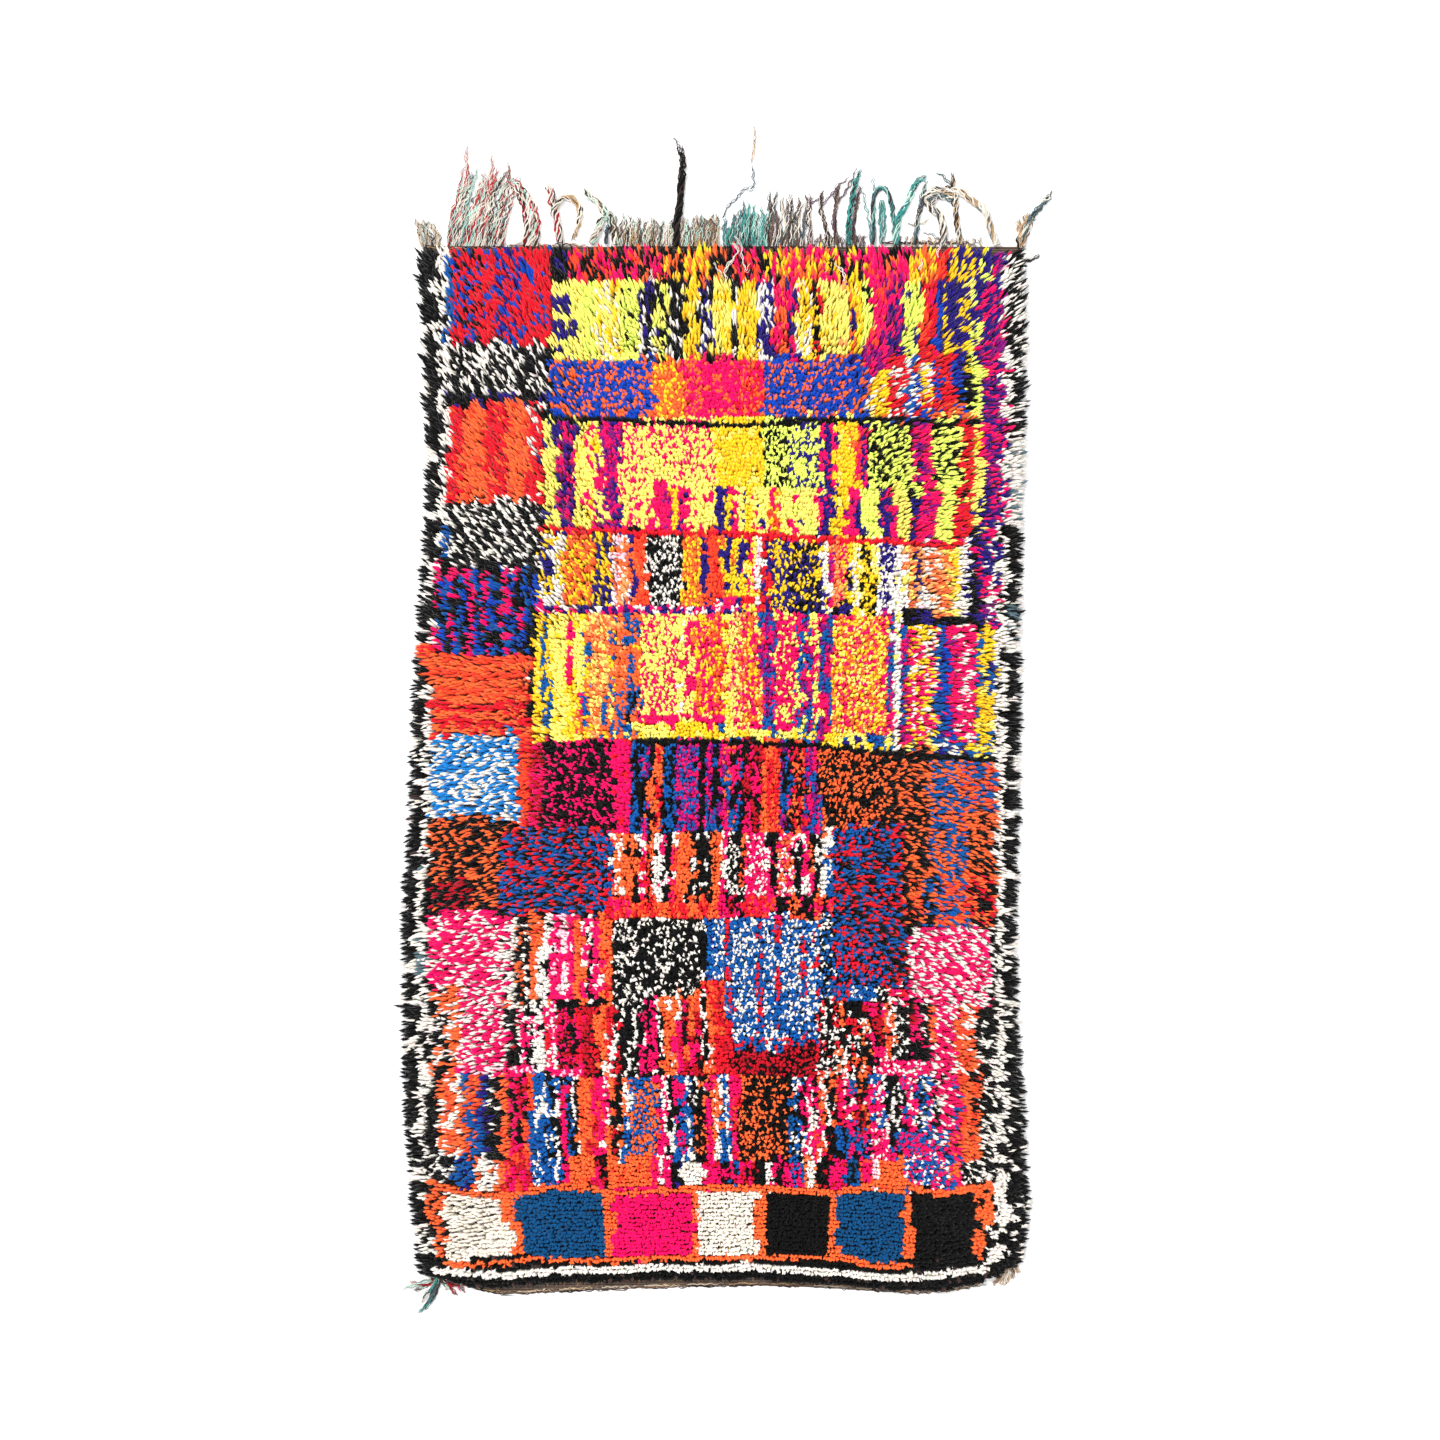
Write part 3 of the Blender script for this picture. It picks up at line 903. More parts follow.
@dataclass
class Tubes:
    """Many tapering strands of one make, drawn along their middles and joined in one mesh.

    Attributes:
        middles: The points along each strand, the last one its tip.
        radii: The radius at every point but the tip.
        aside: A direction square to the strand at every point.
        dyes: The colour of each strand.
        sides: How many sides a strand has.
    """

    middles: np.ndarray
    radii: np.ndarray
    aside: np.ndarray
    dyes: np.ndarray
    sides: int = 3

    def points(self, turn: np.ndarray) -> np.ndarray:
        """The corners of every strand, ring by ring, with its tip last.

        Args:
            turn: Each strand's turn about itself, in radians.

        Returns:
            The corners, by strand and corner.
        """
        along = np.gradient(self.middles, axis=1)
        along /= np.linalg.norm(along, axis=2, keepdims=True) + 1e-9
        across = self.aside - along * (self.aside * along).sum(axis=2, keepdims=True)
        across /= np.linalg.norm(across, axis=2, keepdims=True) + 1e-9
        outward = np.cross(along, across)
        angles = turn[:, None] + np.arange(self.sides) * math.tau / self.sides
        ring = (
            np.cos(angles)[:, None, :, None] * across[:, :-1, None, :]
            + np.sin(angles)[:, None, :, None] * outward[:, :-1, None, :]
        )
        corners = self.middles[:, :-1, None, :] + self.radii[:, :, None, None] * ring
        corners = corners.reshape(len(self.middles), -1, 3)
        return np.concatenate([corners, self.middles[:, -1:, :]], axis=1)

    def pattern(self) -> tuple[np.ndarray, np.ndarray]:
        """The surface of one strand.

        Returns:
            Its triangles, and how far round and along each of their corners lies.
        """
        rings = self.middles.shape[1] - 1
        faces, spots = [], []
        for ring in range(rings - 1):
            for side in range(self.sides):
                near, far = ring * self.sides, (ring + 1) * self.sides
                beside = (side + 1) % self.sides
                faces += [(near + side, near + beside, far + beside), (near + side, far + beside, far + side)]
                spots += [((side, ring), (side + 1, ring), (side + 1, ring + 1)),
                          ((side, ring), (side + 1, ring + 1), (side, ring + 1))]
        for side in range(self.sides):
            last = (rings - 1) * self.sides
            faces.append((last + side, last + (side + 1) % self.sides, rings * self.sides))
            spots.append(((side, rings - 1), (side + 1, rings - 1), (side + 0.5, rings)))
        return np.array(faces), np.array(spots, dtype=float) / np.array([self.sides, rings])

    def build(self, name: str, material: bpy.types.Material, rng: np.random.Generator) -> bpy.types.Object:
        """The strands as one object.

        Args:
            name: The object's name.
            material: Its finish.
            rng: Source of each strand's turn about itself.

        Returns:
            The object, linked into the scene.
        """
        count = len(self.middles)
        points = self.points(rng.uniform(0.0, math.tau, count))
        faces, spots = self.pattern()
        triangles = (faces[None] + (np.arange(count) * points.shape[1])[:, None, None]).reshape(-1, 3)
        made = new_mesh_object(name, points.reshape(-1, 3), triangles, material)
        paint(made, np.repeat(self.dyes, points.shape[1], axis=0))
        strand = np.broadcast_to(spots[None], (count, *spots.shape)) + rng.integers(0, 40, (count, 1, 1, 2))
        add_map(made, "strand", strand.reshape(-1, 2))
        edge = math.ceil(math.sqrt(count))
        cell = np.stack([np.arange(count) % edge, np.arange(count) // edge], axis=1)[:, None, None, :]
        add_map(made, "OFBake", ((cell + 0.06 + 0.88 * spots[None]) / edge).reshape(-1, 2))
        return made


def new_mesh_object(name: str, points: np.ndarray, faces: np.ndarray,
                    material: bpy.types.Material) -> bpy.types.Object:
    """A smooth-shaded mesh object from arrays.

    Args:
        name: The object's name.
        points: Its points, one row each.
        faces: The point numbers of its faces, one row each, all with as many corners.
        material: Its finish.

    Returns:
        The object, linked into the scene.
    """
    mesh = bpy.data.meshes.new(name)
    mesh.vertices.add(len(points))
    mesh.vertices.foreach_set("co", points.astype(np.float32).ravel())
    mesh.loops.add(faces.size)
    mesh.loops.foreach_set("vertex_index", faces.astype(np.int32).ravel())
    mesh.polygons.add(len(faces))
    mesh.polygons.foreach_set("loop_start", np.arange(0, faces.size, faces.shape[1], dtype=np.int32))
    mesh.update(calc_edges=True)
    mesh.shade_smooth()
    mesh.materials.append(material)
    made = bpy.data.objects.new(name, mesh)
    bpy.context.scene.collection.objects.link(made)
    return made


def paint(made: bpy.types.Object, colours: np.ndarray) -> None:
    """Stores the dye that the wool's finish reads.

    Args:
        made: The object.
        colours: The colour of each of its points, in linear light.
    """
    attribute = made.data.color_attributes.new("dye", "FLOAT_COLOR", "POINT")
    with_alpha = np.concatenate([colours, np.ones((len(colours), 1))], axis=1)
    attribute.data.foreach_set("color", with_alpha.astype(np.float32).ravel())


def add_map(made: bpy.types.Object, name: str, places: np.ndarray) -> None:
    """Stores a flat map of an object's faces.

    Args:
        made: The object.
        name: The map's name.
        places: A place on the map for each corner of each face.
    """
    layer = made.data.uv_layers.new(name=name)
    layer.data.foreach_set("uv", places.astype(np.float32).ravel())


def tune(node: bpy.types.Node, values: dict[str, float | tuple]) -> None:
    """Sets a node's own sockets.

    Args:
        node: The node.
        values: The value of each socket, by its name.
    """
    for label, value in values.items():
        node.inputs[label].default_value = value


@dataclass(frozen=True)
class FibreLook:
    """How yarn of one kind shows its fibres.

    Attributes:
        around: How many fibres show around a strand.
        along: How often they change along it.
        shade_at_root: How much of its light colour is left at the root.
        bump: Strength of the relief.
        roughness: How matt it is.
        sheen: How much the loose fibres catch the light at a slant.
    """

    around: float = 9.0
    along: float = 2.2
    shade_at_root: float = 0.8
    bump: float = 0.35
    roughness: float = 0.9
    sheen: float = 0.12


class WoolFinish:
    """The finish of dyed wool: its dye, streaked along the fibres and darker at the root."""

    GROUP = "wool_fibres"

    def group(self) -> bpy.types.NodeTree:
        """The shared streaks, made once: dye and places on the strand in, colour and height out.

        Returns:
            The node group.
        """
        known = bpy.data.node_groups.get(self.GROUP)
        if known:
            return known
        tree = bpy.data.node_groups.new(self.GROUP, "ShaderNodeTree")
        for label, kind in (("Dye", "NodeSocketColor"), ("Strand", "NodeSocketVector"),
                            ("Around", "NodeSocketFloat"), ("Along", "NodeSocketFloat"),
                            ("Root Shade", "NodeSocketFloat")):
            tree.interface.new_socket(label, in_out="INPUT", socket_type=kind)
        tree.interface.new_socket("Colour", in_out="OUTPUT", socket_type="NodeSocketColor")
        tree.interface.new_socket("Height", in_out="OUTPUT", socket_type="NodeSocketFloat")
        nodes, links = tree.nodes, tree.links
        given, result = nodes.new("NodeGroupInput"), nodes.new("NodeGroupOutput")
        stretch = nodes.new("ShaderNodeCombineXYZ")
        links.new(given.outputs["Around"], stretch.inputs["X"])
        links.new(given.outputs["Along"], stretch.inputs["Y"])
        scaled = nodes.new("ShaderNodeVectorMath")
        scaled.operation = "MULTIPLY"
        links.new(given.outputs["Strand"], scaled.inputs[0])
        links.new(stretch.outputs["Vector"], scaled.inputs[1])
        noise = nodes.new("ShaderNodeTexNoise")
        tune(noise, {"Scale": 1.0, "Detail": 3.0})
        links.new(scaled.outputs["Vector"], noise.inputs["Vector"])
        streak = nodes.new("ShaderNodeMapRange")
        tune(streak, {"From Min": 0.3, "From Max": 0.7, "To Min": 0.84, "To Max": 1.12})
        links.new(noise.outputs["Fac"], streak.inputs["Value"])
        split = nodes.new("ShaderNodeSeparateXYZ")
        links.new(given.outputs["Strand"], split.inputs["Vector"])
        share = nodes.new("ShaderNodeMath")
        share.operation = "FRACT"
        links.new(split.outputs["Y"], share.inputs[0])
        rise = nodes.new("ShaderNodeMapRange")
        rise.interpolation_type = "SMOOTHSTEP"
        tune(rise, {"From Max": 0.62, "To Max": 1.0})
        links.new(share.outputs["Value"], rise.inputs["Value"])
        links.new(given.outputs["Root Shade"], rise.inputs["To Min"])
        shade = nodes.new("ShaderNodeMath")
        shade.operation = "MULTIPLY"
        links.new(streak.outputs["Result"], shade.inputs[0])
        links.new(rise.outputs["Result"], shade.inputs[1])
        tinted = nodes.new("ShaderNodeVectorMath")
        tinted.operation = "SCALE"
        links.new(given.outputs["Dye"], tinted.inputs[0])
        links.new(shade.outputs["Value"], tinted.inputs["Scale"])
        links.new(tinted.outputs["Vector"], result.inputs["Colour"])
        links.new(noise.outputs["Fac"], result.inputs["Height"])
        return tree

    def material(self, name: str, look: FibreLook) -> bpy.types.Material:
        """A finish for one kind of yarn.

        Args:
            name: The finish's name.
            look: How its fibres show.

        Returns:
            The material.
        """
        made = bpy.data.materials.new(name)
        made.use_nodes = True
        nodes, links = made.node_tree.nodes, made.node_tree.links
        shader = nodes["Principled BSDF"]
        tune(shader, {"Roughness": look.roughness, "Sheen Weight": look.sheen, "Specular IOR Level": 0.08})
        dye = nodes.new("ShaderNodeAttribute")
        dye.attribute_name = "dye"
        strand = nodes.new("ShaderNodeUVMap")
        strand.uv_map = "strand"
        fibres = nodes.new("ShaderNodeGroup")
        fibres.node_tree = self.group()
        tune(fibres, {"Around": look.around, "Along": look.along, "Root Shade": look.shade_at_root})
        links.new(dye.outputs["Color"], fibres.inputs["Dye"])
        links.new(strand.outputs["UV"], fibres.inputs["Strand"])
        links.new(fibres.outputs["Colour"], shader.inputs["Base Color"])
        relief = nodes.new("ShaderNodeBump")
        tune(relief, {"Strength": look.bump, "Distance": 0.0006})
        links.new(fibres.outputs["Height"], relief.inputs["Height"])
        links.new(relief.outputs["Normal"], shader.inputs["Normal"])
        return made


@dataclass(frozen=True)
class LockKind:
    """One make of lock.

    Attributes:
        offsets: Where a knot's locks stand round its middle, across and down, in millimetres.
        along: Shares of the lock's length at which its rings stand, with its tip.
        swell: Thickness of each ring, as a share of the full one.
        radius: Half the full thickness, in metres.
        curl: How far it bows sideways, in metres.
        strips: How many lengthwise objects its locks are shared out to.
    """

    offsets: tuple[tuple[float, float], ...]
    along: tuple[float, ...]
    swell: tuple[float, ...]
    radius: float
    curl: float
    strips: int


LONG_LOCK = LockKind(((-3.4, -4.3), (3.4, -4.3), (-3.4, 4.3), (3.4, 4.3)), (0.0, 0.4, 0.76, 1.0),
                     (1.6, 1.05, 0.9), 0.0038, 0.0018, 3)
SHORT_LOCK = LockKind(((-4.6, -4.4), (0.0, -4.0), (4.6, -4.4), (-4.6, 4.4), (0.0, 4.8), (4.6, 4.4)),
                      (0.0, 0.6, 1.0), (1.7, 1.08), 0.0046, 0.0013, 4)


@dataclass
class Pile:
    """The knotted pile: rows of knots, each with its locks of wool, in lengthwise strips.

    Attributes:
        layout: Where things lie.
        patchwork: Which wool goes where.
        lay: How the pile leans.
        rng: Source of all its unevenness.
        columns: Knots across.
        rows: Rows of knots.
        height: How high the upright pile stands.
        long_from: The lean from which a knot has long locks.
        objects: The strips, once they are grown.
    """

    layout: Layout
    patchwork: Patchwork
    lay: Lay
    rng: np.random.Generator
    columns: int = 97
    rows: int = 131
    height: float = 0.0235
    long_from: float = 0.0125
    objects: list[bpy.types.Object] = field(default_factory=list)

    FIRST_ROW = 0.019
    ROOT_HEIGHT = 0.007
    KNOT_UNEVEN = 0.0030
    LOCK_UNEVEN = 0.0030
    RIM_REACH = 0.015
    CROPPED_FROM = 2.14
    SHOWN_AT = 0.7

    def knots(self) -> tuple[np.ndarray, np.ndarray, np.ndarray, np.ndarray]:
        """All knots.

        Returns:
            Their rows, their places in the row, and how far across and down they are tied.
        """
        row, place = np.divmod(np.arange(self.rows * self.columns), self.columns)
        across, down = self.layout.rug_point((place + 0.5) / self.columns, (row + 0.5) / self.rows)
        down = self.FIRST_ROW * (1.0 - row / self.rows) + down
        wander = Waver(self.rng, 0.07)
        down = down + 0.0035 * wander.at(across, down)
        scatter = self.rng.normal(0.0, 0.0012, (2, len(row)))
        return row, place, across + scatter[0], np.maximum(down + scatter[1], 0.002)

    def shifts(self, down: np.ndarray, size: float) -> np.ndarray:
        """Random shifts of tips, smaller lengthways in the closely cropped lower end.

        Args:
            down: How far down the rug each tip is, in metres.
            size: The usual size of a shift, in metres.

        Returns:
            The shift across and along for each tip.
        """
        drawn = self.rng.normal(0.0, size, (len(down), 2))
        drawn[:, 1] *= np.where(down > self.CROPPED_FROM, 0.35, 1.0)
        return drawn

    def grow(self, material: bpy.types.Material) -> None:
        """Grows every knot's locks and builds the strips.

        Args:
            material: The finish of the wool.
        """
        row, place, across, down = self.knots()
        lean = self.lay.lean(across, down)
        long = np.linalg.norm(lean, axis=1) > self.long_from
        lean = lean + self.shifts(down, self.KNOT_UNEVEN) * np.where(long, 1.0, 0.7)[:, None]
        rim = np.where(place == 0, -1.0, np.where(place == self.columns - 1, 1.0, 0.0))
        beside = np.where(place == 1, -0.45, np.where(place == self.columns - 2, 0.45, 0.0))
        lean[:, 0] = lean[:, 0] * (1.0 - 0.7 * np.abs(rim)) + self.RIM_REACH * (rim + beside) * 1.25
        shown = across + self.SHOWN_AT * lean[:, 0], down - self.SHOWN_AT * lean[:, 1]
        numbers = self.patchwork.cell_numbers(*shown)
        lump = 0.0022 * Waver(self.rng, 0.11).at(across, down)
        for kind, chosen in ((LONG_LOCK, long), (SHORT_LOCK, ~long)):
            picked = np.flatnonzero(chosen)
            knot = np.repeat(picked, len(kind.offsets))
            offsets = np.tile(np.array(kind.offsets) / 1000.0, (len(picked), 1))
            offsets += self.rng.normal(0.0, 0.0010, offsets.shape)
            roots = np.stack([across[knot] + offsets[:, 0], down[knot] + offsets[:, 1]], axis=1)
            middles, aside, visible = self.shape(kind, roots, lean[knot], rim[knot], lump[knot])
            even = (np.tile(np.arange(len(kind.offsets)), len(picked)) + row[knot] + place[knot]) % 2
            dyes = self.patchwork.dye(numbers[knot], row[knot], even, visible)
            dyes = dyes * self.rng.uniform(0.86, 1.08, (len(knot), 1))
            dyes = np.clip(dyes * self.rng.uniform(0.96, 1.04, (len(knot), 3)), 0.0, 0.96)
            radii = kind.radius * self.rng.uniform(0.84, 1.14, (len(knot), 1)) * np.array(kind.swell)
            strip_of = place[knot] * kind.strips // self.columns
            label = "long" if kind is LONG_LOCK else "short"
            for number in range(kind.strips):
                own = strip_of == number
                tubes = Tubes(middles[own], radii[own], aside[own], dyes[own])
                self.objects.append(tubes.build(f"{label}_pile_{number + 1}", material, self.rng))

    def shape(self, kind: LockKind, roots: np.ndarray, lean: np.ndarray, rim: np.ndarray,
              lump: np.ndarray) -> tuple[np.ndarray, np.ndarray, np.ndarray]:
        """The middles of a kind's locks.

        Args:
            kind: The make of lock.
            roots: Where each lock is tied, across and down.
            lean: How far its tip lies from its root, across and up the rug.
            rim: -1 and 1 at the two side edges, else 0.
            lump: How much higher the pile stands there.

        Returns:
            The middles in the part's frame, a direction square to each lock, and where its top shows.
        """
        count = len(roots)
        lean_to = lean + self.shifts(roots[:, 1], self.LOCK_UNEVEN)
        reach = np.linalg.norm(lean_to, axis=1)
        rise = self.height - 0.26 * reach + lump + self.rng.normal(0.0, 0.0012, count)
        fall = 0.12 + 0.78 * np.abs(rim)
        rise = rise * (1.0 - 0.25 * np.abs(rim))
        x, y = self.layout.place(roots[:, 0], roots[:, 1])
        sideways = np.stack([-lean_to[:, 1], lean_to[:, 0]], axis=1) / (reach[:, None] + 1e-6)
        t = np.array(kind.along)[None, :]
        bow = np.sin(math.pi * t) * self.rng.normal(0.0, kind.curl, (count, 1))
        middles = np.stack([
            x[:, None] + lean_to[:, :1] * t ** 1.6 + sideways[:, :1] * bow,
            y[:, None] + lean_to[:, 1:] * t ** 1.6 + sideways[:, 1:] * bow,
            self.ROOT_HEIGHT + (rise[:, None] - 0.003) * (2.15 * t - (1.2 + fall[:, None]) * t ** 2),
        ], axis=2)
        middles[:, :, 2] = np.maximum(middles[:, :, 2], 0.0022)
        aside = np.concatenate([sideways, np.zeros((count, 1))], axis=1)
        aside = np.repeat(aside[:, None, :], len(kind.along), axis=1)
        return middles, aside, roots + self.SHOWN_AT * lean_to * np.array([1.0, -1.0])


@dataclass
class GroundWeave:
    """The cloth that the knots are tied on, a thin closed sheet out to the lower edge."""

    layout: Layout
    thickness: float = 0.0028
    lift: float = 0.0004
    columns: int = 44
    rows: int = 84

    def build(self, material: bpy.types.Material) -> bpy.types.Object:
        """The sheet as one object.

        Args:
            material: Its finish.

        Returns:
            The object, linked into the scene.
        """
        share_across, share_down = np.meshgrid(
            np.linspace(0.0, 1.0, self.columns + 1), np.linspace(0.0, 1.0, self.rows + 1))
        across, down = self.layout.rug_point(share_across, share_down)
        end_across, end_down = self.layout.rug_point(share_across[-1], np.ones(self.columns + 1), 1.0)
        across, down = np.vstack([across, end_across]), np.vstack([down, end_down])
        x, y = self.layout.place(across, down)
        flat = np.stack([x, y], axis=2).reshape(-1, 2)
        top = np.concatenate([flat, np.full((len(flat), 1), self.lift + self.thickness)], axis=1)
        under = np.concatenate([flat, np.full((len(flat), 1), self.lift)], axis=1)
        rows, wide = self.rows + 2, self.columns + 1
        numbers = np.arange(rows * wide).reshape(rows, wide)
        upper = np.stack([numbers[:-1, :-1], numbers[1:, :-1], numbers[1:, 1:], numbers[:-1, 1:]], axis=2)
        upper = upper.reshape(-1, 4)
        count = rows * wide
        rim = np.concatenate([numbers[0, :-1], numbers[:-1, -1], numbers[-1, :0:-1], numbers[:0:-1, 0]])
        onward = np.roll(rim, -1)
        walls = np.stack([rim, onward, onward + count, rim + count], axis=1)
        faces = np.concatenate([upper, upper[:, ::-1] + count, walls])
        made = new_mesh_object("ground_weave", np.concatenate([top, under]), faces, material)
        made.data.shade_flat()
        return made


class WeaveFinish:
    """The finish of the plain weave: dark wool weft over wool warp."""

    @staticmethod
    def material() -> bpy.types.Material:
        """The material, with its rows of weft.

        Returns:
            The material.
        """
        made = bpy.data.materials.new("ground_wool")
        made.use_nodes = True
        nodes, links = made.node_tree.nodes, made.node_tree.links
        shader = nodes["Principled BSDF"]
        tune(shader, {"Roughness": 0.95, "Specular IOR Level": 0.2})
        place = nodes.new("ShaderNodeTexCoord")
        weft = nodes.new("ShaderNodeTexWave")
        weft.bands_direction = "Y"
        tune(weft, {"Scale": 55.0, "Distortion": 1.5})
        links.new(place.outputs["Object"], weft.inputs["Vector"])
        tone = nodes.new("ShaderNodeMix")
        tone.data_type = "RGBA"
        tune(tone, {"A": (0.055, 0.035, 0.026, 1.0), "B": (0.15, 0.105, 0.08, 1.0)})
        links.new(weft.outputs["Fac"], tone.inputs["Factor"])
        links.new(tone.outputs["Result"], shader.inputs["Base Color"])
        relief = nodes.new("ShaderNodeBump")
        tune(relief, {"Strength": 0.5, "Distance": 0.0008})
        links.new(weft.outputs["Fac"], relief.inputs["Height"])
        links.new(relief.outputs["Normal"], shader.inputs["Normal"])
        return made


@dataclass(frozen=True)
class Strand:
    """One loose yarn: points across and past the edge in metres, its width, wools and filaments."""

    points: tuple[tuple[float, float], ...]
    width: float
    wools: str
    filaments: int = 7


def yarn(points: tuple[tuple[float, float], ...], width: float, wools: str, filaments: int = 9) -> Strand:
    """A loose yarn drawn in millimetres.

    Args:
        points: Points across from the middle of the upper edge and past an edge, in millimetres.
        width: Its width, in millimetres.
        wools: Its wools.
        filaments: How many filaments it has.

    Returns:
        The yarn as a strand in metres.
    """
    in_metres = tuple((across / 1000, past / 1000) for across, past in points)
    return Strand(in_metres, width / 1000, wools, filaments)


@dataclass
class YarnMaker:
    """Lays bundles of twisted wool filaments along drawn paths, all in one object.

    Attributes:
        layout: Where things lie.
        rng: Source of their unevenness.
        steps: Points along each filament.
        twist: Turns a metre.
        lift: The least height of a filament, in metres.
    """

    layout: Layout
    rng: np.random.Generator
    steps: int = 20
    twist: float = 12.0
    lift: float = 0.0012
    middles: list[np.ndarray] = field(default_factory=list)
    radii: list[np.ndarray] = field(default_factory=list)
    dyes: list[np.ndarray] = field(default_factory=list)

    SWAY = 0.0027
    CURL = 0.0026
    CURL_LENGTH = 0.022

    def smooth(self, points: np.ndarray) -> np.ndarray:
        """A soft curve through a few drawn points.

        Args:
            points: The drawn points.

        Returns:
            Evenly spaced points along the curve.
        """
        ends = np.vstack([2 * points[0] - points[1], points, 2 * points[-1] - points[-2]])
        pieces = []
        for index in range(len(points) - 1):
            before, start, end, after = ends[index:index + 4]
            t = np.linspace(0.0, 1.0, 12, endpoint=False)[:, None]
            bend = (2 * before - 5 * start + 4 * end - after) * t ** 2
            turn = (3 * start - before - 3 * end + after) * t ** 3
            pieces.append(0.5 * (2 * start + (end - before) * t + bend + turn))
        fine = np.vstack([*pieces, points[-1:]])
        length = np.concatenate([[0.0], np.cumsum(np.linalg.norm(np.diff(fine, axis=0), axis=1))])
        at = np.linspace(0.0, length[-1], self.steps)
        return np.stack([np.interp(at, length, fine[:, axis]) for axis in range(fine.shape[1])], axis=1)

    def lay(self, strand: Strand, edge_down: float, way_out: int) -> None:
        """Lays one bundle.

        Args:
            strand: The bundle.
            edge_down: Where the rug's edge lies at its root, in metres down from the upper edge.
            way_out: 1 when it reaches up the rug, -1 when it reaches down.
        """
        drawn = np.array(strand.points)
        across, past = drawn[:, 0], drawn[:, 1]
        x, y = self.layout.place(across, edge_down - way_out * past)
        spine = self.smooth(np.stack([x, y], axis=1))
        along = np.gradient(spine, axis=0)
        steps_long = np.linalg.norm(along, axis=1, keepdims=True)
        aside = np.stack([-along[:, 1], along[:, 0]], axis=1) / (steps_long + 1e-9)
        share = np.linspace(0.0, 1.0, self.steps)
        distance = np.concatenate([[0.0], np.cumsum(steps_long[1:, 0])])
        taper = 1.0 - 0.4 * share ** 4
        half = strand.width / 2 * taper
        wools = [WOOLS[name].linear() for name in strand.wools.split()]
        thin = strand.width / (2.0 if strand.filaments < 5 else 3.2)
        start = self.rng.uniform(0.0, math.tau)
        for number in range(strand.filaments):
            angle = start + math.tau * (number / strand.filaments + self.twist * distance)
            out = half * (0.62 if strand.filaments > 1 else 0.0) * self.rng.uniform(0.75, 1.25)
            knots = max(int(distance[-1] / 0.011), 4)
            wander = np.interp(share, np.linspace(0, 1, knots), self.rng.normal(0.0, self.SWAY, knots))
            curl = np.sin(math.tau * (distance / self.CURL_LENGTH + self.rng.random()))
            wander = (wander + self.CURL * curl) * share ** 0.4
            end = 1.0 + self.rng.uniform(-0.14, 0.02)
            sideways = (out * np.cos(angle) + wander)[:, None] * aside
            high = self.lift + half * 0.55 + out * 0.55 * np.sin(angle) + 0.004 * (1.0 - share) ** 6
            middle = np.concatenate([spine + sideways, np.maximum(high, self.lift)[:, None]], axis=1)
            at = share * end
            cut = [np.interp(at, share, middle[:, axis]) for axis in range(3)]
            self.middles.append(np.stack(cut, axis=1))
            self.radii.append(thin / 2 * (1.0 - 0.6 * share[:-1] ** 5) * self.rng.uniform(0.75, 1.2))
            tint = wools[self.rng.integers(len(wools))]
            self.dyes.append(tint * self.rng.uniform(0.75, 1.08) * self.rng.uniform(0.96, 1.04, 3))

    def build(self, name: str, material: bpy.types.Material) -> bpy.types.Object:
        """All bundles laid so far, as one object.

        Args:
            name: The object's name.
            material: Its finish.

        Returns:
            The object, linked into the scene.
        """
        middles = np.array(self.middles)
        along = np.gradient(middles, axis=1)
        aside = np.stack([-along[:, :, 1], along[:, :, 0], np.zeros(along.shape[:2])], axis=2) + 1e-9
        tubes = Tubes(middles, np.array(self.radii), aside, np.array(self.dyes))
        return tubes.build(name, material, self.rng)


class Clump(NamedTuple):
    """Loose ends side by side: their roots, their reach past the edge and their tips' shift aside."""

    first: float
    last: float
    count: int
    reach_first: float
    reach_last: float
    shift_first: float
    shift_last: float
    width: float
    wools: str


LONG_CLUMPS = (
    Clump(-0.684, -0.644, 8, 0.070, 0.058, -0.024, -0.006, 0.0065, "cream umber tan mint cream"),
    Clump(-0.624, -0.502, 25, 0.182, 0.172, 0.036, 0.04, 0.009, "cream cream slate crimson umber mint cream"),
    Clump(-0.610, -0.510, 8, 0.120, 0.080, 0.020, 0.010, 0.0070, "cream slate crimson umber"),
)

SHORT_CLUMPS = (
    Clump(-0.234, -0.112, 23, 0.078, 0.062, -0.004, 0.002, 0.0080, "cream brown tan umber mint"),
    Clump(-0.092, -0.006, 16, 0.070, 0.084, 0.002, 0.002, 0.0080, "cream brown tan mint umber"),
    Clump(0.010, 0.056, 9, 0.066, 0.104, 0.006, 0.004, 0.0080, "jade mint jade umber slate"),
    Clump(0.056, 0.108, 10, 0.116, 0.094, 0.004, 0.002, 0.0080, "mint jade jade umber"),
    Clump(0.112, 0.190, 15, 0.132, 0.118, 0.002, 0.002, 0.0080, "brown slate cream umber"),
    Clump(0.200, 0.330, 14, 0.034, 0.030, 0.004, 0.004, 0.0060, "plum brown umber cream"),
    Clump(0.400, 0.600, 16, 0.028, 0.022, 0.004, -0.006, 0.0050, "tan cream umber"),
)

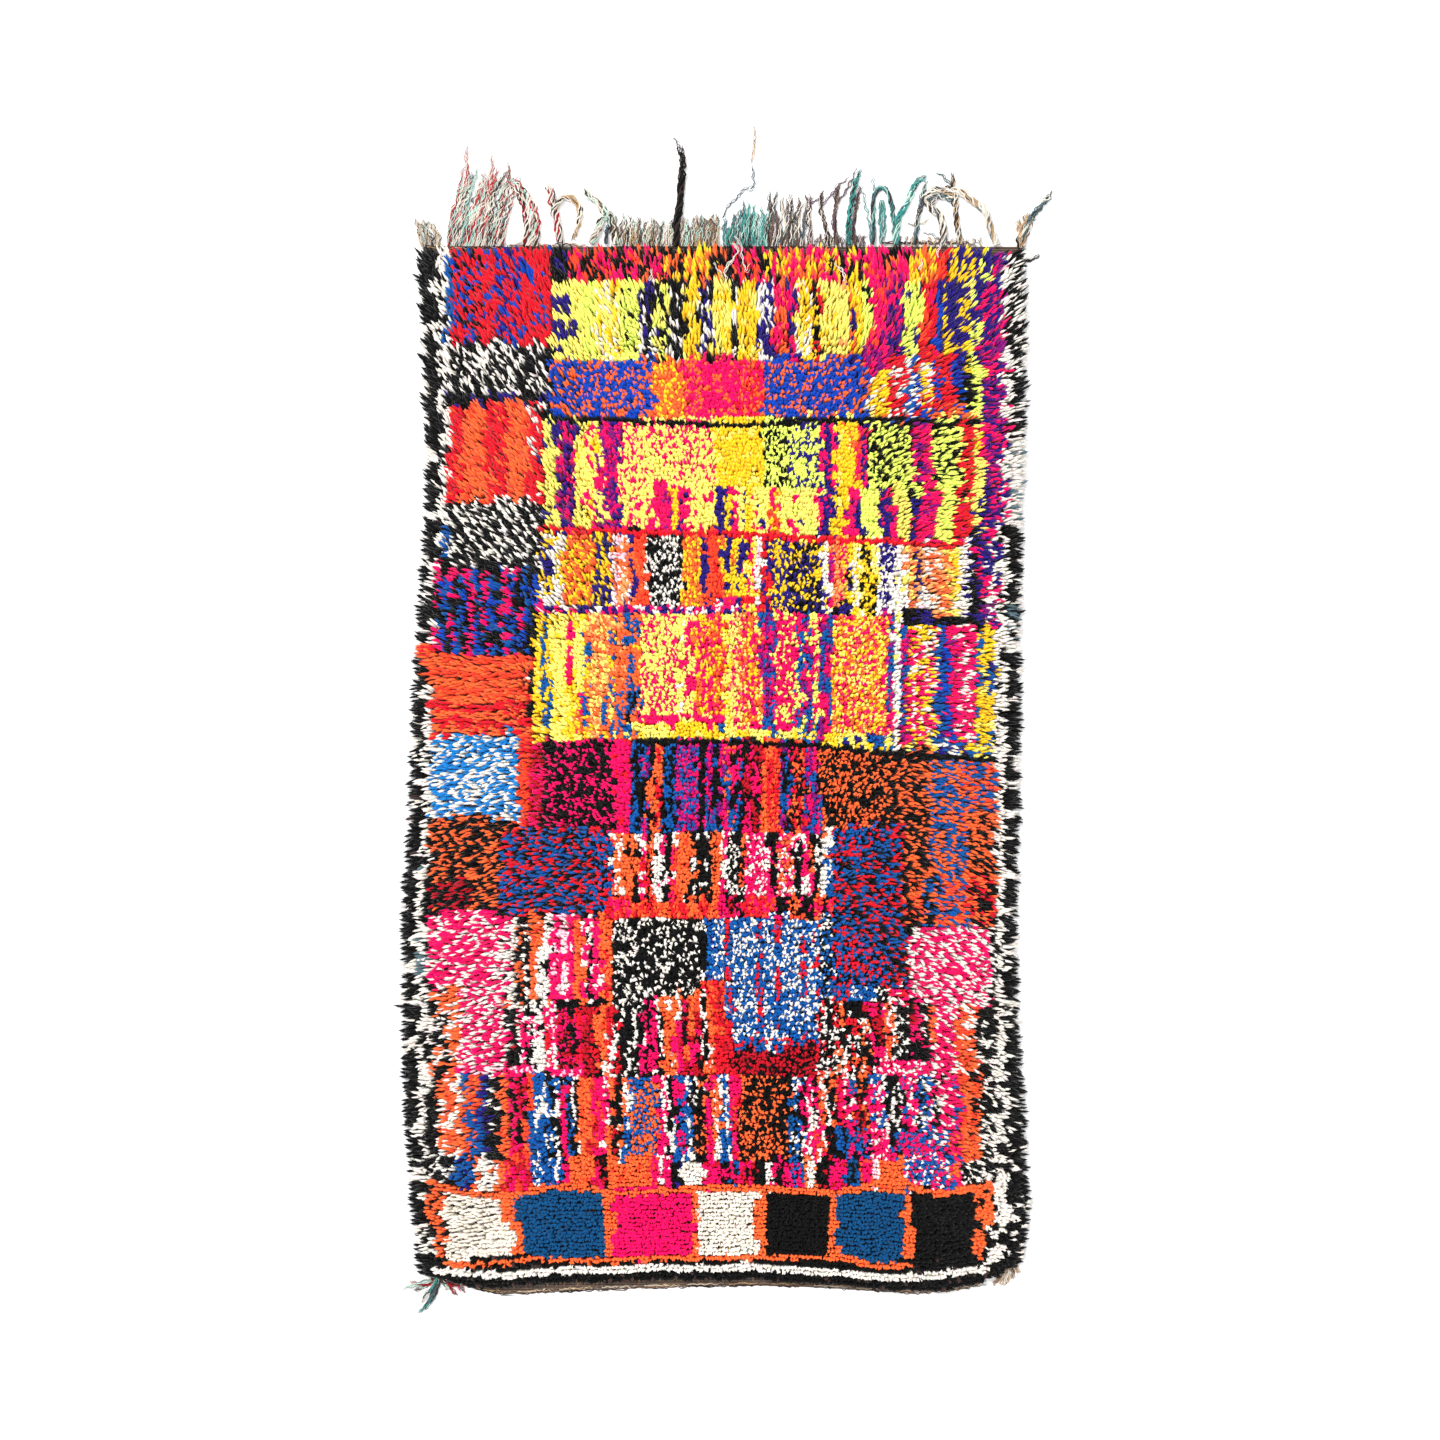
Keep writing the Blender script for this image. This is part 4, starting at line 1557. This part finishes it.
# The tufts at the lower corners, past the lower edge
LOWER_LEFT_YARNS = (
    yarn(((-648, -6), (-682, 8), (-708, 18), (-733, 26)), 6, "mint slate cream"),
    yarn(((-640, -4), (-672, 14), (-700, 10), (-716, 2)), 6, "crimson mint umber"),
    yarn(((-644, 0), (-684, 20), (-712, 30)), 6, "mint cream umber"),
    yarn(((-650, -4), (-660, 26), (-672, 56), (-694, 84)), 9, "umber jade slate umber"),
    yarn(((-644, 2), (-656, 34), (-670, 60), (-684, 74)), 8, "umber slate mint"),
    yarn(((-654, 0), (-664, 24), (-676, 40), (-690, 58)), 6, "umber slate cream"),
    yarn(((-652, -8), (-612, 4), (-584, 12), (-558, 6)), 8, "mint crimson cream umber"),
    yarn(((-646, 2), (-612, 14), (-586, 8), (-566, 14)), 8, "crimson mint umber"),
    yarn(((-640, -10), (-606, -2), (-572, -4), (-552, 2)), 7, "mint slate cream"),
    yarn(((-636, 0), (-622, 16), (-610, 30), (-600, 36)), 7, "crimson mint umber"),
    yarn(((-612, -6), (-600, 8), (-592, 20), (-588, 28)), 6, "crimson cream slate"),
    yarn(((-640, -6), (-632, 10), (-626, 26)), 7, "mint umber cream"),
    yarn(((-672, -6), (-640, 6), (-612, 2), (-590, 8)), 8, "crimson cream slate umber"),
    yarn(((-664, 4), (-636, 14), (-604, 22)), 7, "mint crimson umber"),
)

LOWER_RIGHT_YARNS = (
    yarn(((646, -12), (640, 4), (632, 16), (626, 22)), 8, "brown tan cream"),
    yarn(((652, -12), (650, 8), (644, 26)), 9, "tan cream tan"),
    yarn(((660, -14), (661, 8), (659, 29)), 9, "brown tan cream"),
    yarn(((668, -14), (672, 6), (674, 24)), 9, "tan cream brown"),
    yarn(((674, -16), (682, 0), (690, 12)), 8, "tan brown cream"),
    yarn(((656, -10), (654, 14), (650, 32)), 6, "tan umber cream"),
)

TOP_STRANDS = (
    yarn(((-672, 1), (-640, 0), (-600, -3), (-560, 0), (-530, 4), (-480, 3)), 8, "cream umber tan", 5),
    yarn(((-484, 3), (-440, 6), (-390, 2), (-340, 5), (-300, 2)), 7, "cream umber tan", 5),
    yarn(((-600, 0), (-594, 90), (-582, 160), (-584, 200), (-580, 244)), 7, "crimson cream crimson"),
    yarn(((-540, 20), (-530, 110), (-528, 160), (-522, 214)), 7, "crimson cream crimson umber"),
    yarn(((-510, 20), (-496, 100), (-486, 150), (-487, 198)), 7, "crimson cream umber"),
    yarn(((-437, 0), (-430, 50), (-438, 92), (-456, 132),
          (-480, 156)), 18, "cream cream crimson umber mint", 13),
    yarn(((-448, 0), (-444, 44), (-450, 88), (-466, 126),
          (-488, 150)), 14, "cream cream crimson umber", 11),
    yarn(((-425, 0), (-420, 45), (-428, 90), (-446, 124), (-462, 136)), 12, "cream crimson umber cream"),
    yarn(((-368, 8), (-372, 40), (-384, 90), (-394, 152)), 17, "cream cream slate crimson umber"),
    yarn(((-382, 84), (-372, 100), (-361, 112), (-345, 112), (-327, 96), (-322, 76),
          (-337, 12)), 13, "cream tan brown umber"),
    yarn(((-296, 6), (-284, 32), (-272, 62), (-262, 72), (-276, 96),
          (-317, 132)), 17, "cream cream brown umber mint", 11),
    yarn(((-240, 4), (-246, 40), (-258, 70), (-278, 98)), 15, "cream brown umber mint"),
    yarn(((-262, 6), (-258, 34), (-250, 66), (-262, 84)), 9, "cream slate umber"),
    yarn(((-100, 0), (-100, 56), (-93, 85), (-88, 156), (-86, 202),
          (-96, 232)), 17, "black umber black", 12),
    yarn(((-88, 196), (-92, 232), (-108, 257)), 3, "umber brown", 3),
    yarn(((-20, 66), (4, 40), (28, 4)), 4, "white cream", 3),
    yarn(((6, 66), (20, 96), (36, 110), (50, 128), (66, 134), (82, 136)), 4, "umber slate", 3),
    yarn(((70, 132), (78, 142), (76, 166), (72, 196)), 3, "umber slate", 3),
    yarn(((72, 192), (76, 220), (81, 254), (74, 291)), 3, "tan brown", 3),
    yarn(((213, 4), (207, 42), (205, 85), (208, 126)), 9, "plum brown umber cream"),
    yarn(((196, 118), (206, 100), (222, 104), (232, 112)), 4, "plum umber", 3),
    yarn(((251, 4), (244, 42), (231, 85), (236, 131)), 10, "plum umber brown cream"),
    yarn(((234, 92), (252, 116), (272, 136), (298, 162)), 4, "plum brown", 3),
    yarn(((268, 4), (263, 63), (268, 106), (272, 154)), 10, "plum brown umber"),
    yarn(((270, 100), (292, 130), (306, 160), (314, 184)), 4, "plum brown", 3),
    yarn(((297, 4), (297, 58), (305, 116), (318, 164), (328, 180)), 13, "jade jade slate umber", 11),
    yarn(((309, 4), (308, 50), (314, 100), (322, 140)), 8, "plum brown umber"),
    yarn(((347, 4), (342, 63), (331, 111), (326, 143)), 4, "jade slate mint", 3),
    yarn(((352, 4), (352, 74), (355, 118), (372, 138), (390, 118), (397, 74),
          (400, 10)), 10, "jade slate jade mint umber"),
    yarn(((371, 4), (368, 60), (371, 106), (377, 74), (378, 8)), 8, "jade slate jade mint umber"),
    yarn(((353, 128), (353, 146), (355, 164)), 3, "jade slate", 3),
    yarn(((404, 4), (408, 58), (429, 100), (450, 143), (466, 158),
          (478, 158)), 14, "jade slate jade mint umber", 11),
    yarn(((448, 4), (453, 53), (461, 90), (470, 132), (478, 154)), 10, "cream mint slate umber"),
    yarn(((432, 52), (446, 50), (466, 54), (484, 64)), 4, "cream slate tan", 3),
    yarn(((474, 106), (500, 118), (530, 112), (548, 120)), 12, "cream umber slate cream"),
    yarn(((484, 96), (508, 124), (546, 130)), 10, "cream umber cream"),
    yarn(((511, 2), (514, 42), (503, 74), (482, 95), (474, 112), (488, 128), (514, 133), (538, 136)), 18,
         "cream cream slate umber", 11),
    yarn(((553, 4), (543, 63), (540, 111), (536, 142), (532, 172)), 14, "cream cream slate umber tan"),
    yarn(((538, 140), (524, 148), (508, 164), (492, 176)), 4, "slate umber cream", 3),
    yarn(((635, 2), (622, 42), (609, 79), (588, 100), (561, 119), (536, 128), (500, 120)), 19,
         "cream cream slate tan umber", 11),
    yarn(((505, 18), (478, 30), (462, 28)), 3, "cream slate", 3),
    yarn(((371, 8), (430, 9), (500, 7), (560, 9), (609, 4)), 5, "umber black", 3),
    yarn(((693, -4), (700, 34), (716, 66), (742, 98), (768, 132)), 12, "cream slate umber cream", 10),
    yarn(((693, -4), (690, 34), (684, 66)), 13, "tan cream tan"),
    yarn(((695, 0), (698, 40), (704, 80)), 13, "tan cream tan brown"),
    yarn(((697, 8), (710, 44), (720, 72)), 9, "brown cream slate"),
    yarn(((686, -26), (688, 0), (684, 26)), 10, "umber black"),
    yarn(((692, -34), (712, -32), (728, -24), (734, -14)), 5, "umber black", 4),
)

# Pale threads that stray over the upper pile: points across and down from the upper edge
STRAY_THREADS = (
    yarn(((28, 4), (37, -4), (41, -16), (22, -44), (12, -62), (13, -92)), 5, "white cream", 3),
    yarn(((33, 20), (49, -4), (52, -48), (62, -60), (72, -36)), 5, "white cream", 3),
    yarn(((-161, -83), (-158, -66), (-156, -53)), 4, "white", 3),
    yarn(((-14, -41), (-3, -58), (9, -76)), 4, "white", 3),
    yarn(((262, -42), (278, -58), (284, -72), (280, -86)), 4, "white cream", 3),
    yarn(((508, 0), (500, -12), (498, -30)), 4, "white cream", 3),
    yarn(((462, -32), (460, -46), (455, -60)), 4, "white cream", 3),
)


def clump_strands(clumps: tuple[Clump, ...], rng: np.random.Generator) -> list[Strand]:
    """The yarns of every clump, each with its own length and sway.

    Args:
        clumps: The clumps.
        rng: Source of the unevenness.

    Returns:
        One strand for each yarn.
    """
    strands = []
    for clump in clumps:
        for number in range(clump.count):
            share = number / max(clump.count - 1, 1)
            root = clump.first + share * (clump.last - clump.first)
            reach = clump.reach_first + share * (clump.reach_last - clump.reach_first)
            shift = clump.shift_first + share * (clump.shift_last - clump.shift_first)
            reach *= rng.uniform(0.62, 1.0) if number % 3 else rng.uniform(0.95, 1.06)
            sway = rng.normal(0.0, 0.0025 + 0.018 * reach, 4)
            points = [
                (root + shift * out ** 1.4 + sway[step] * out, reach * out)
                for step, out in enumerate((0.0, 0.34, 0.68, 1.0))
            ]
            strands.append(Strand(tuple(points), clump.width, clump.wools, 6))
    return strands


@dataclass
class LooseEnds:
    """The loose warp ends along the upper edge and at both lower corners, and the threads that stray."""

    layout: Layout
    rng: np.random.Generator

    def top(self, material: bpy.types.Material) -> list[bpy.types.Object]:
        """The loose ends along the upper edge.

        Args:
            material: Their finish.

        Returns:
            The long ones and the short ones, as two objects.
        """
        long = YarnMaker(self.layout, self.rng, steps=42)
        for strand in [*clump_strands(LONG_CLUMPS, self.rng), *TOP_STRANDS]:
            long.lay(strand, 0.0, 1)
        short = YarnMaker(self.layout, self.rng, steps=18)
        for strand in clump_strands(SHORT_CLUMPS, self.rng):
            short.lay(strand, 0.0, 1)
        return [long.build("long_loose_ends", material), short.build("short_loose_ends", material)]

    def lower(self, name: str, strands: tuple[Strand, ...], material: bpy.types.Material) -> bpy.types.Object:
        """The tuft at one lower corner.

        Args:
            name: The object's name.
            strands: Its yarns.
            material: Its finish.

        Returns:
            The object.
        """
        maker = YarnMaker(self.layout, self.rng, steps=12)
        for strand in strands:
            edge_down = float(self.layout.lower_edge(np.array([strand.points[0][0]]))[0][0])
            maker.lay(strand, edge_down, -1)
        return maker.build(name, material)

    def strays(self, material: bpy.types.Material, height: float) -> bpy.types.Object:
        """Pale threads lying on the pile near the upper edge.

        Args:
            material: Their finish.
            height: How high above the floor they lie, in metres.

        Returns:
            The object.
        """
        maker = YarnMaker(self.layout, self.rng, lift=height)
        for strand in STRAY_THREADS:
            maker.lay(strand, 0.0, 1)
        return maker.build("stray_threads", material)


@dataclass
class FlatEnd:
    """The flat-woven strip below the pile: short ridges of warp, and the cords that close it."""

    layout: Layout
    rng: np.random.Generator
    pitch: float = 0.0048

    RUN = (-0.560, 0.610)

    def ridges(self) -> YarnMaker:
        """Lays the ridges, each a short yarn across the strip.

        Returns:
            Their maker.
        """
        maker = YarnMaker(self.layout, self.rng, steps=6, twist=60.0)
        for number, root in enumerate(np.arange(*self.RUN, self.pitch)):
            lower, pile_end = (float(value[0]) for value in self.layout.lower_edge(np.array([root])))
            long = lower - pile_end
            wools = "umber black" if number % 2 else "brown slate tan"
            points = ((root, -0.006), (root + 0.001, long * 0.5), (root, long * 0.86))
            maker.lay(Strand(points, 0.0042, wools, 2), pile_end, -1)
        return maker

    def cord_pieces(self, maker: YarnMaker, share: float, width: float, wools: str) -> None:
        """Lays one cord along the strip, in lengths.

        Args:
            maker: What lays it.
            share: Where it lies, as a share of the strip's width.
            width: Its width, in metres.
            wools: Its wools.
        """
        stops = np.linspace(*self.RUN, 13)
        for start, end in zip(stops[:-1], stops[1:]):
            across = np.linspace(start - 0.004, end + 0.004, 5)
            lower, pile_end = self.layout.lower_edge(across)
            down = pile_end + share * (lower - pile_end) + self.rng.normal(0.0, 0.0005, 5)
            points = tuple(zip(across, down - down[0]))
            maker.lay(Strand(points, width, wools, 3), float(down[0]), -1)

    def build(self, material: bpy.types.Material) -> list[bpy.types.Object]:
        """The ridges and the cords.

        Args:
            material: Their finish.

        Returns:
            Two objects.
        """
        ridges = self.ridges()
        cords = YarnMaker(self.layout, self.rng, steps=18, twist=70.0, lift=0.0014)
        self.cord_pieces(cords, 0.74, 0.0046, "cream tan tan")
        self.cord_pieces(cords, 0.96, 0.0050, "umber black brown")
        return [ridges.build("flat_end_ridges", material), cords.build("flat_end_cords", material)]


@dataclass
class Studio:
    """A pale floor, soft light and a camera straight above, as in the photograph."""

    eye_height: float = 6.0
    seen_width: float = 3.312
    sensor: float = 36.0
    middle_down: float = 1.088
    floor_half: float = 12.0

    def floor(self) -> bpy.types.Object:
        """A large plain floor with a faint unevenness of tone.

        Returns:
            The object.
        """
        half = self.floor_half
        corners = np.array([(-half, -half, 0.0), (half, -half, 0.0), (half, half, 0.0), (-half, half, 0.0)])
        made = bpy.data.materials.new("floor_paint")
        made.use_nodes = True
        nodes, links = made.node_tree.nodes, made.node_tree.links
        shader = nodes["Principled BSDF"]
        tune(shader, {"Roughness": 0.8, "Specular IOR Level": 0.2})
        place = nodes.new("ShaderNodeTexCoord")
        noise = nodes.new("ShaderNodeTexNoise")
        tune(noise, {"Scale": 1.5})
        links.new(place.outputs["Object"], noise.inputs["Vector"])
        tone = nodes.new("ShaderNodeMix")
        tone.data_type = "RGBA"
        tune(tone, {"A": (0.90, 0.90, 0.905, 1.0), "B": (0.915, 0.915, 0.92, 1.0)})
        links.new(noise.outputs["Fac"], tone.inputs["Factor"])
        links.new(tone.outputs["Result"], shader.inputs["Base Color"])
        return new_mesh_object("floor", corners, np.array([[0, 1, 2, 3]]), made)

    def lights(self) -> None:
        """An even dome and one soft light from the upper left."""
        world = bpy.data.worlds.new("studio")
        bpy.context.scene.world = world
        world.use_nodes = True
        world.node_tree.nodes["Background"].inputs["Color"].default_value = (1.0, 1.0, 1.0, 1.0)
        world.node_tree.nodes["Background"].inputs["Strength"].default_value = 1.25
        key = bpy.data.lights.new("key", "SUN")
        key.energy = 2.2
        key.angle = math.radians(14.0)
        lamp = bpy.data.objects.new("key", key)
        lamp.rotation_euler = Vector((-0.55, 0.6, 1.0)).to_track_quat("Z", "Y").to_euler()
        bpy.context.scene.collection.objects.link(lamp)

    def camera(self, layout: Layout) -> None:
        """The camera, straight above the middle of the photograph.

        Args:
            layout: Where things lie.
        """
        lens = bpy.data.cameras.new("above")
        lens.sensor_width = self.sensor
        lens.lens = self.sensor * self.eye_height / self.seen_width
        eye = bpy.data.objects.new("above", lens)
        x, y = layout.place(0.0, self.middle_down)
        eye.location = (float(x), float(y), self.eye_height)
        bpy.context.scene.collection.objects.link(eye)
        bpy.context.scene.camera = eye


def take_over(made: bpy.types.Object, slot_name: str, *nodes: str) -> None:
    """Fixes a piece to the rug's one body in place of the plain parts that it stands for.

    Args:
        made: The piece.
        slot_name: The slot of its finish.
        nodes: The parts that it stands for.
    """
    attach(made, "root")
    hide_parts(*nodes)
    LOG.info("%s: %d faces", made.name, len(made.data.polygons))


def main() -> None:
    """Builds the rug's looks, the floor, the light and the camera."""
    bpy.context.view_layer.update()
    rng = np.random.default_rng(SEED)
    layout = Layout()
    finish = WoolFinish()
    pile_wool = finish.material("pile_wool", FibreLook())
    warp_wool = finish.material("warp_wool", FibreLook(around=4.0, along=14.0, shade_at_root=0.8))
    ground = GroundWeave(layout).build(WeaveFinish.material())
    take_over(ground, "wool_pile", "pile_rug")
    pile = Pile(layout, Patchwork(rng), Lay(), rng)
    pile.grow(pile_wool)
    for strip in pile.objects:
        take_over(strip, "wool_pile", "pile_rug")
    flat_end = FlatEnd(layout, rng).build(warp_wool)
    for part in flat_end:
        take_over(part, "wool_pile", "pile_rug")
    ends = LooseEnds(layout, rng)
    top = ends.top(warp_wool)
    for part in top:
        take_over(part, "warp_yarn", "top_warp_ends")
    left = ends.lower("lower_left_tuft", LOWER_LEFT_YARNS, warp_wool)
    take_over(left, "warp_yarn", "lower_left_warp_ends")
    right = ends.lower("lower_right_tuft", LOWER_RIGHT_YARNS, warp_wool)
    take_over(right, "warp_yarn", "lower_right_warp_ends")
    strays = ends.strays(warp_wool, 0.024)
    take_over(strays, "warp_yarn", "top_warp_ends")
    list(pile.objects)
    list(flat_end)
    studio = Studio()
    studio.floor()
    studio.lights()
    studio.camera(layout)
    bpy.context.scene.view_settings.view_transform = "Standard"
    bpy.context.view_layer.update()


if __name__ == "__main__":
    main()
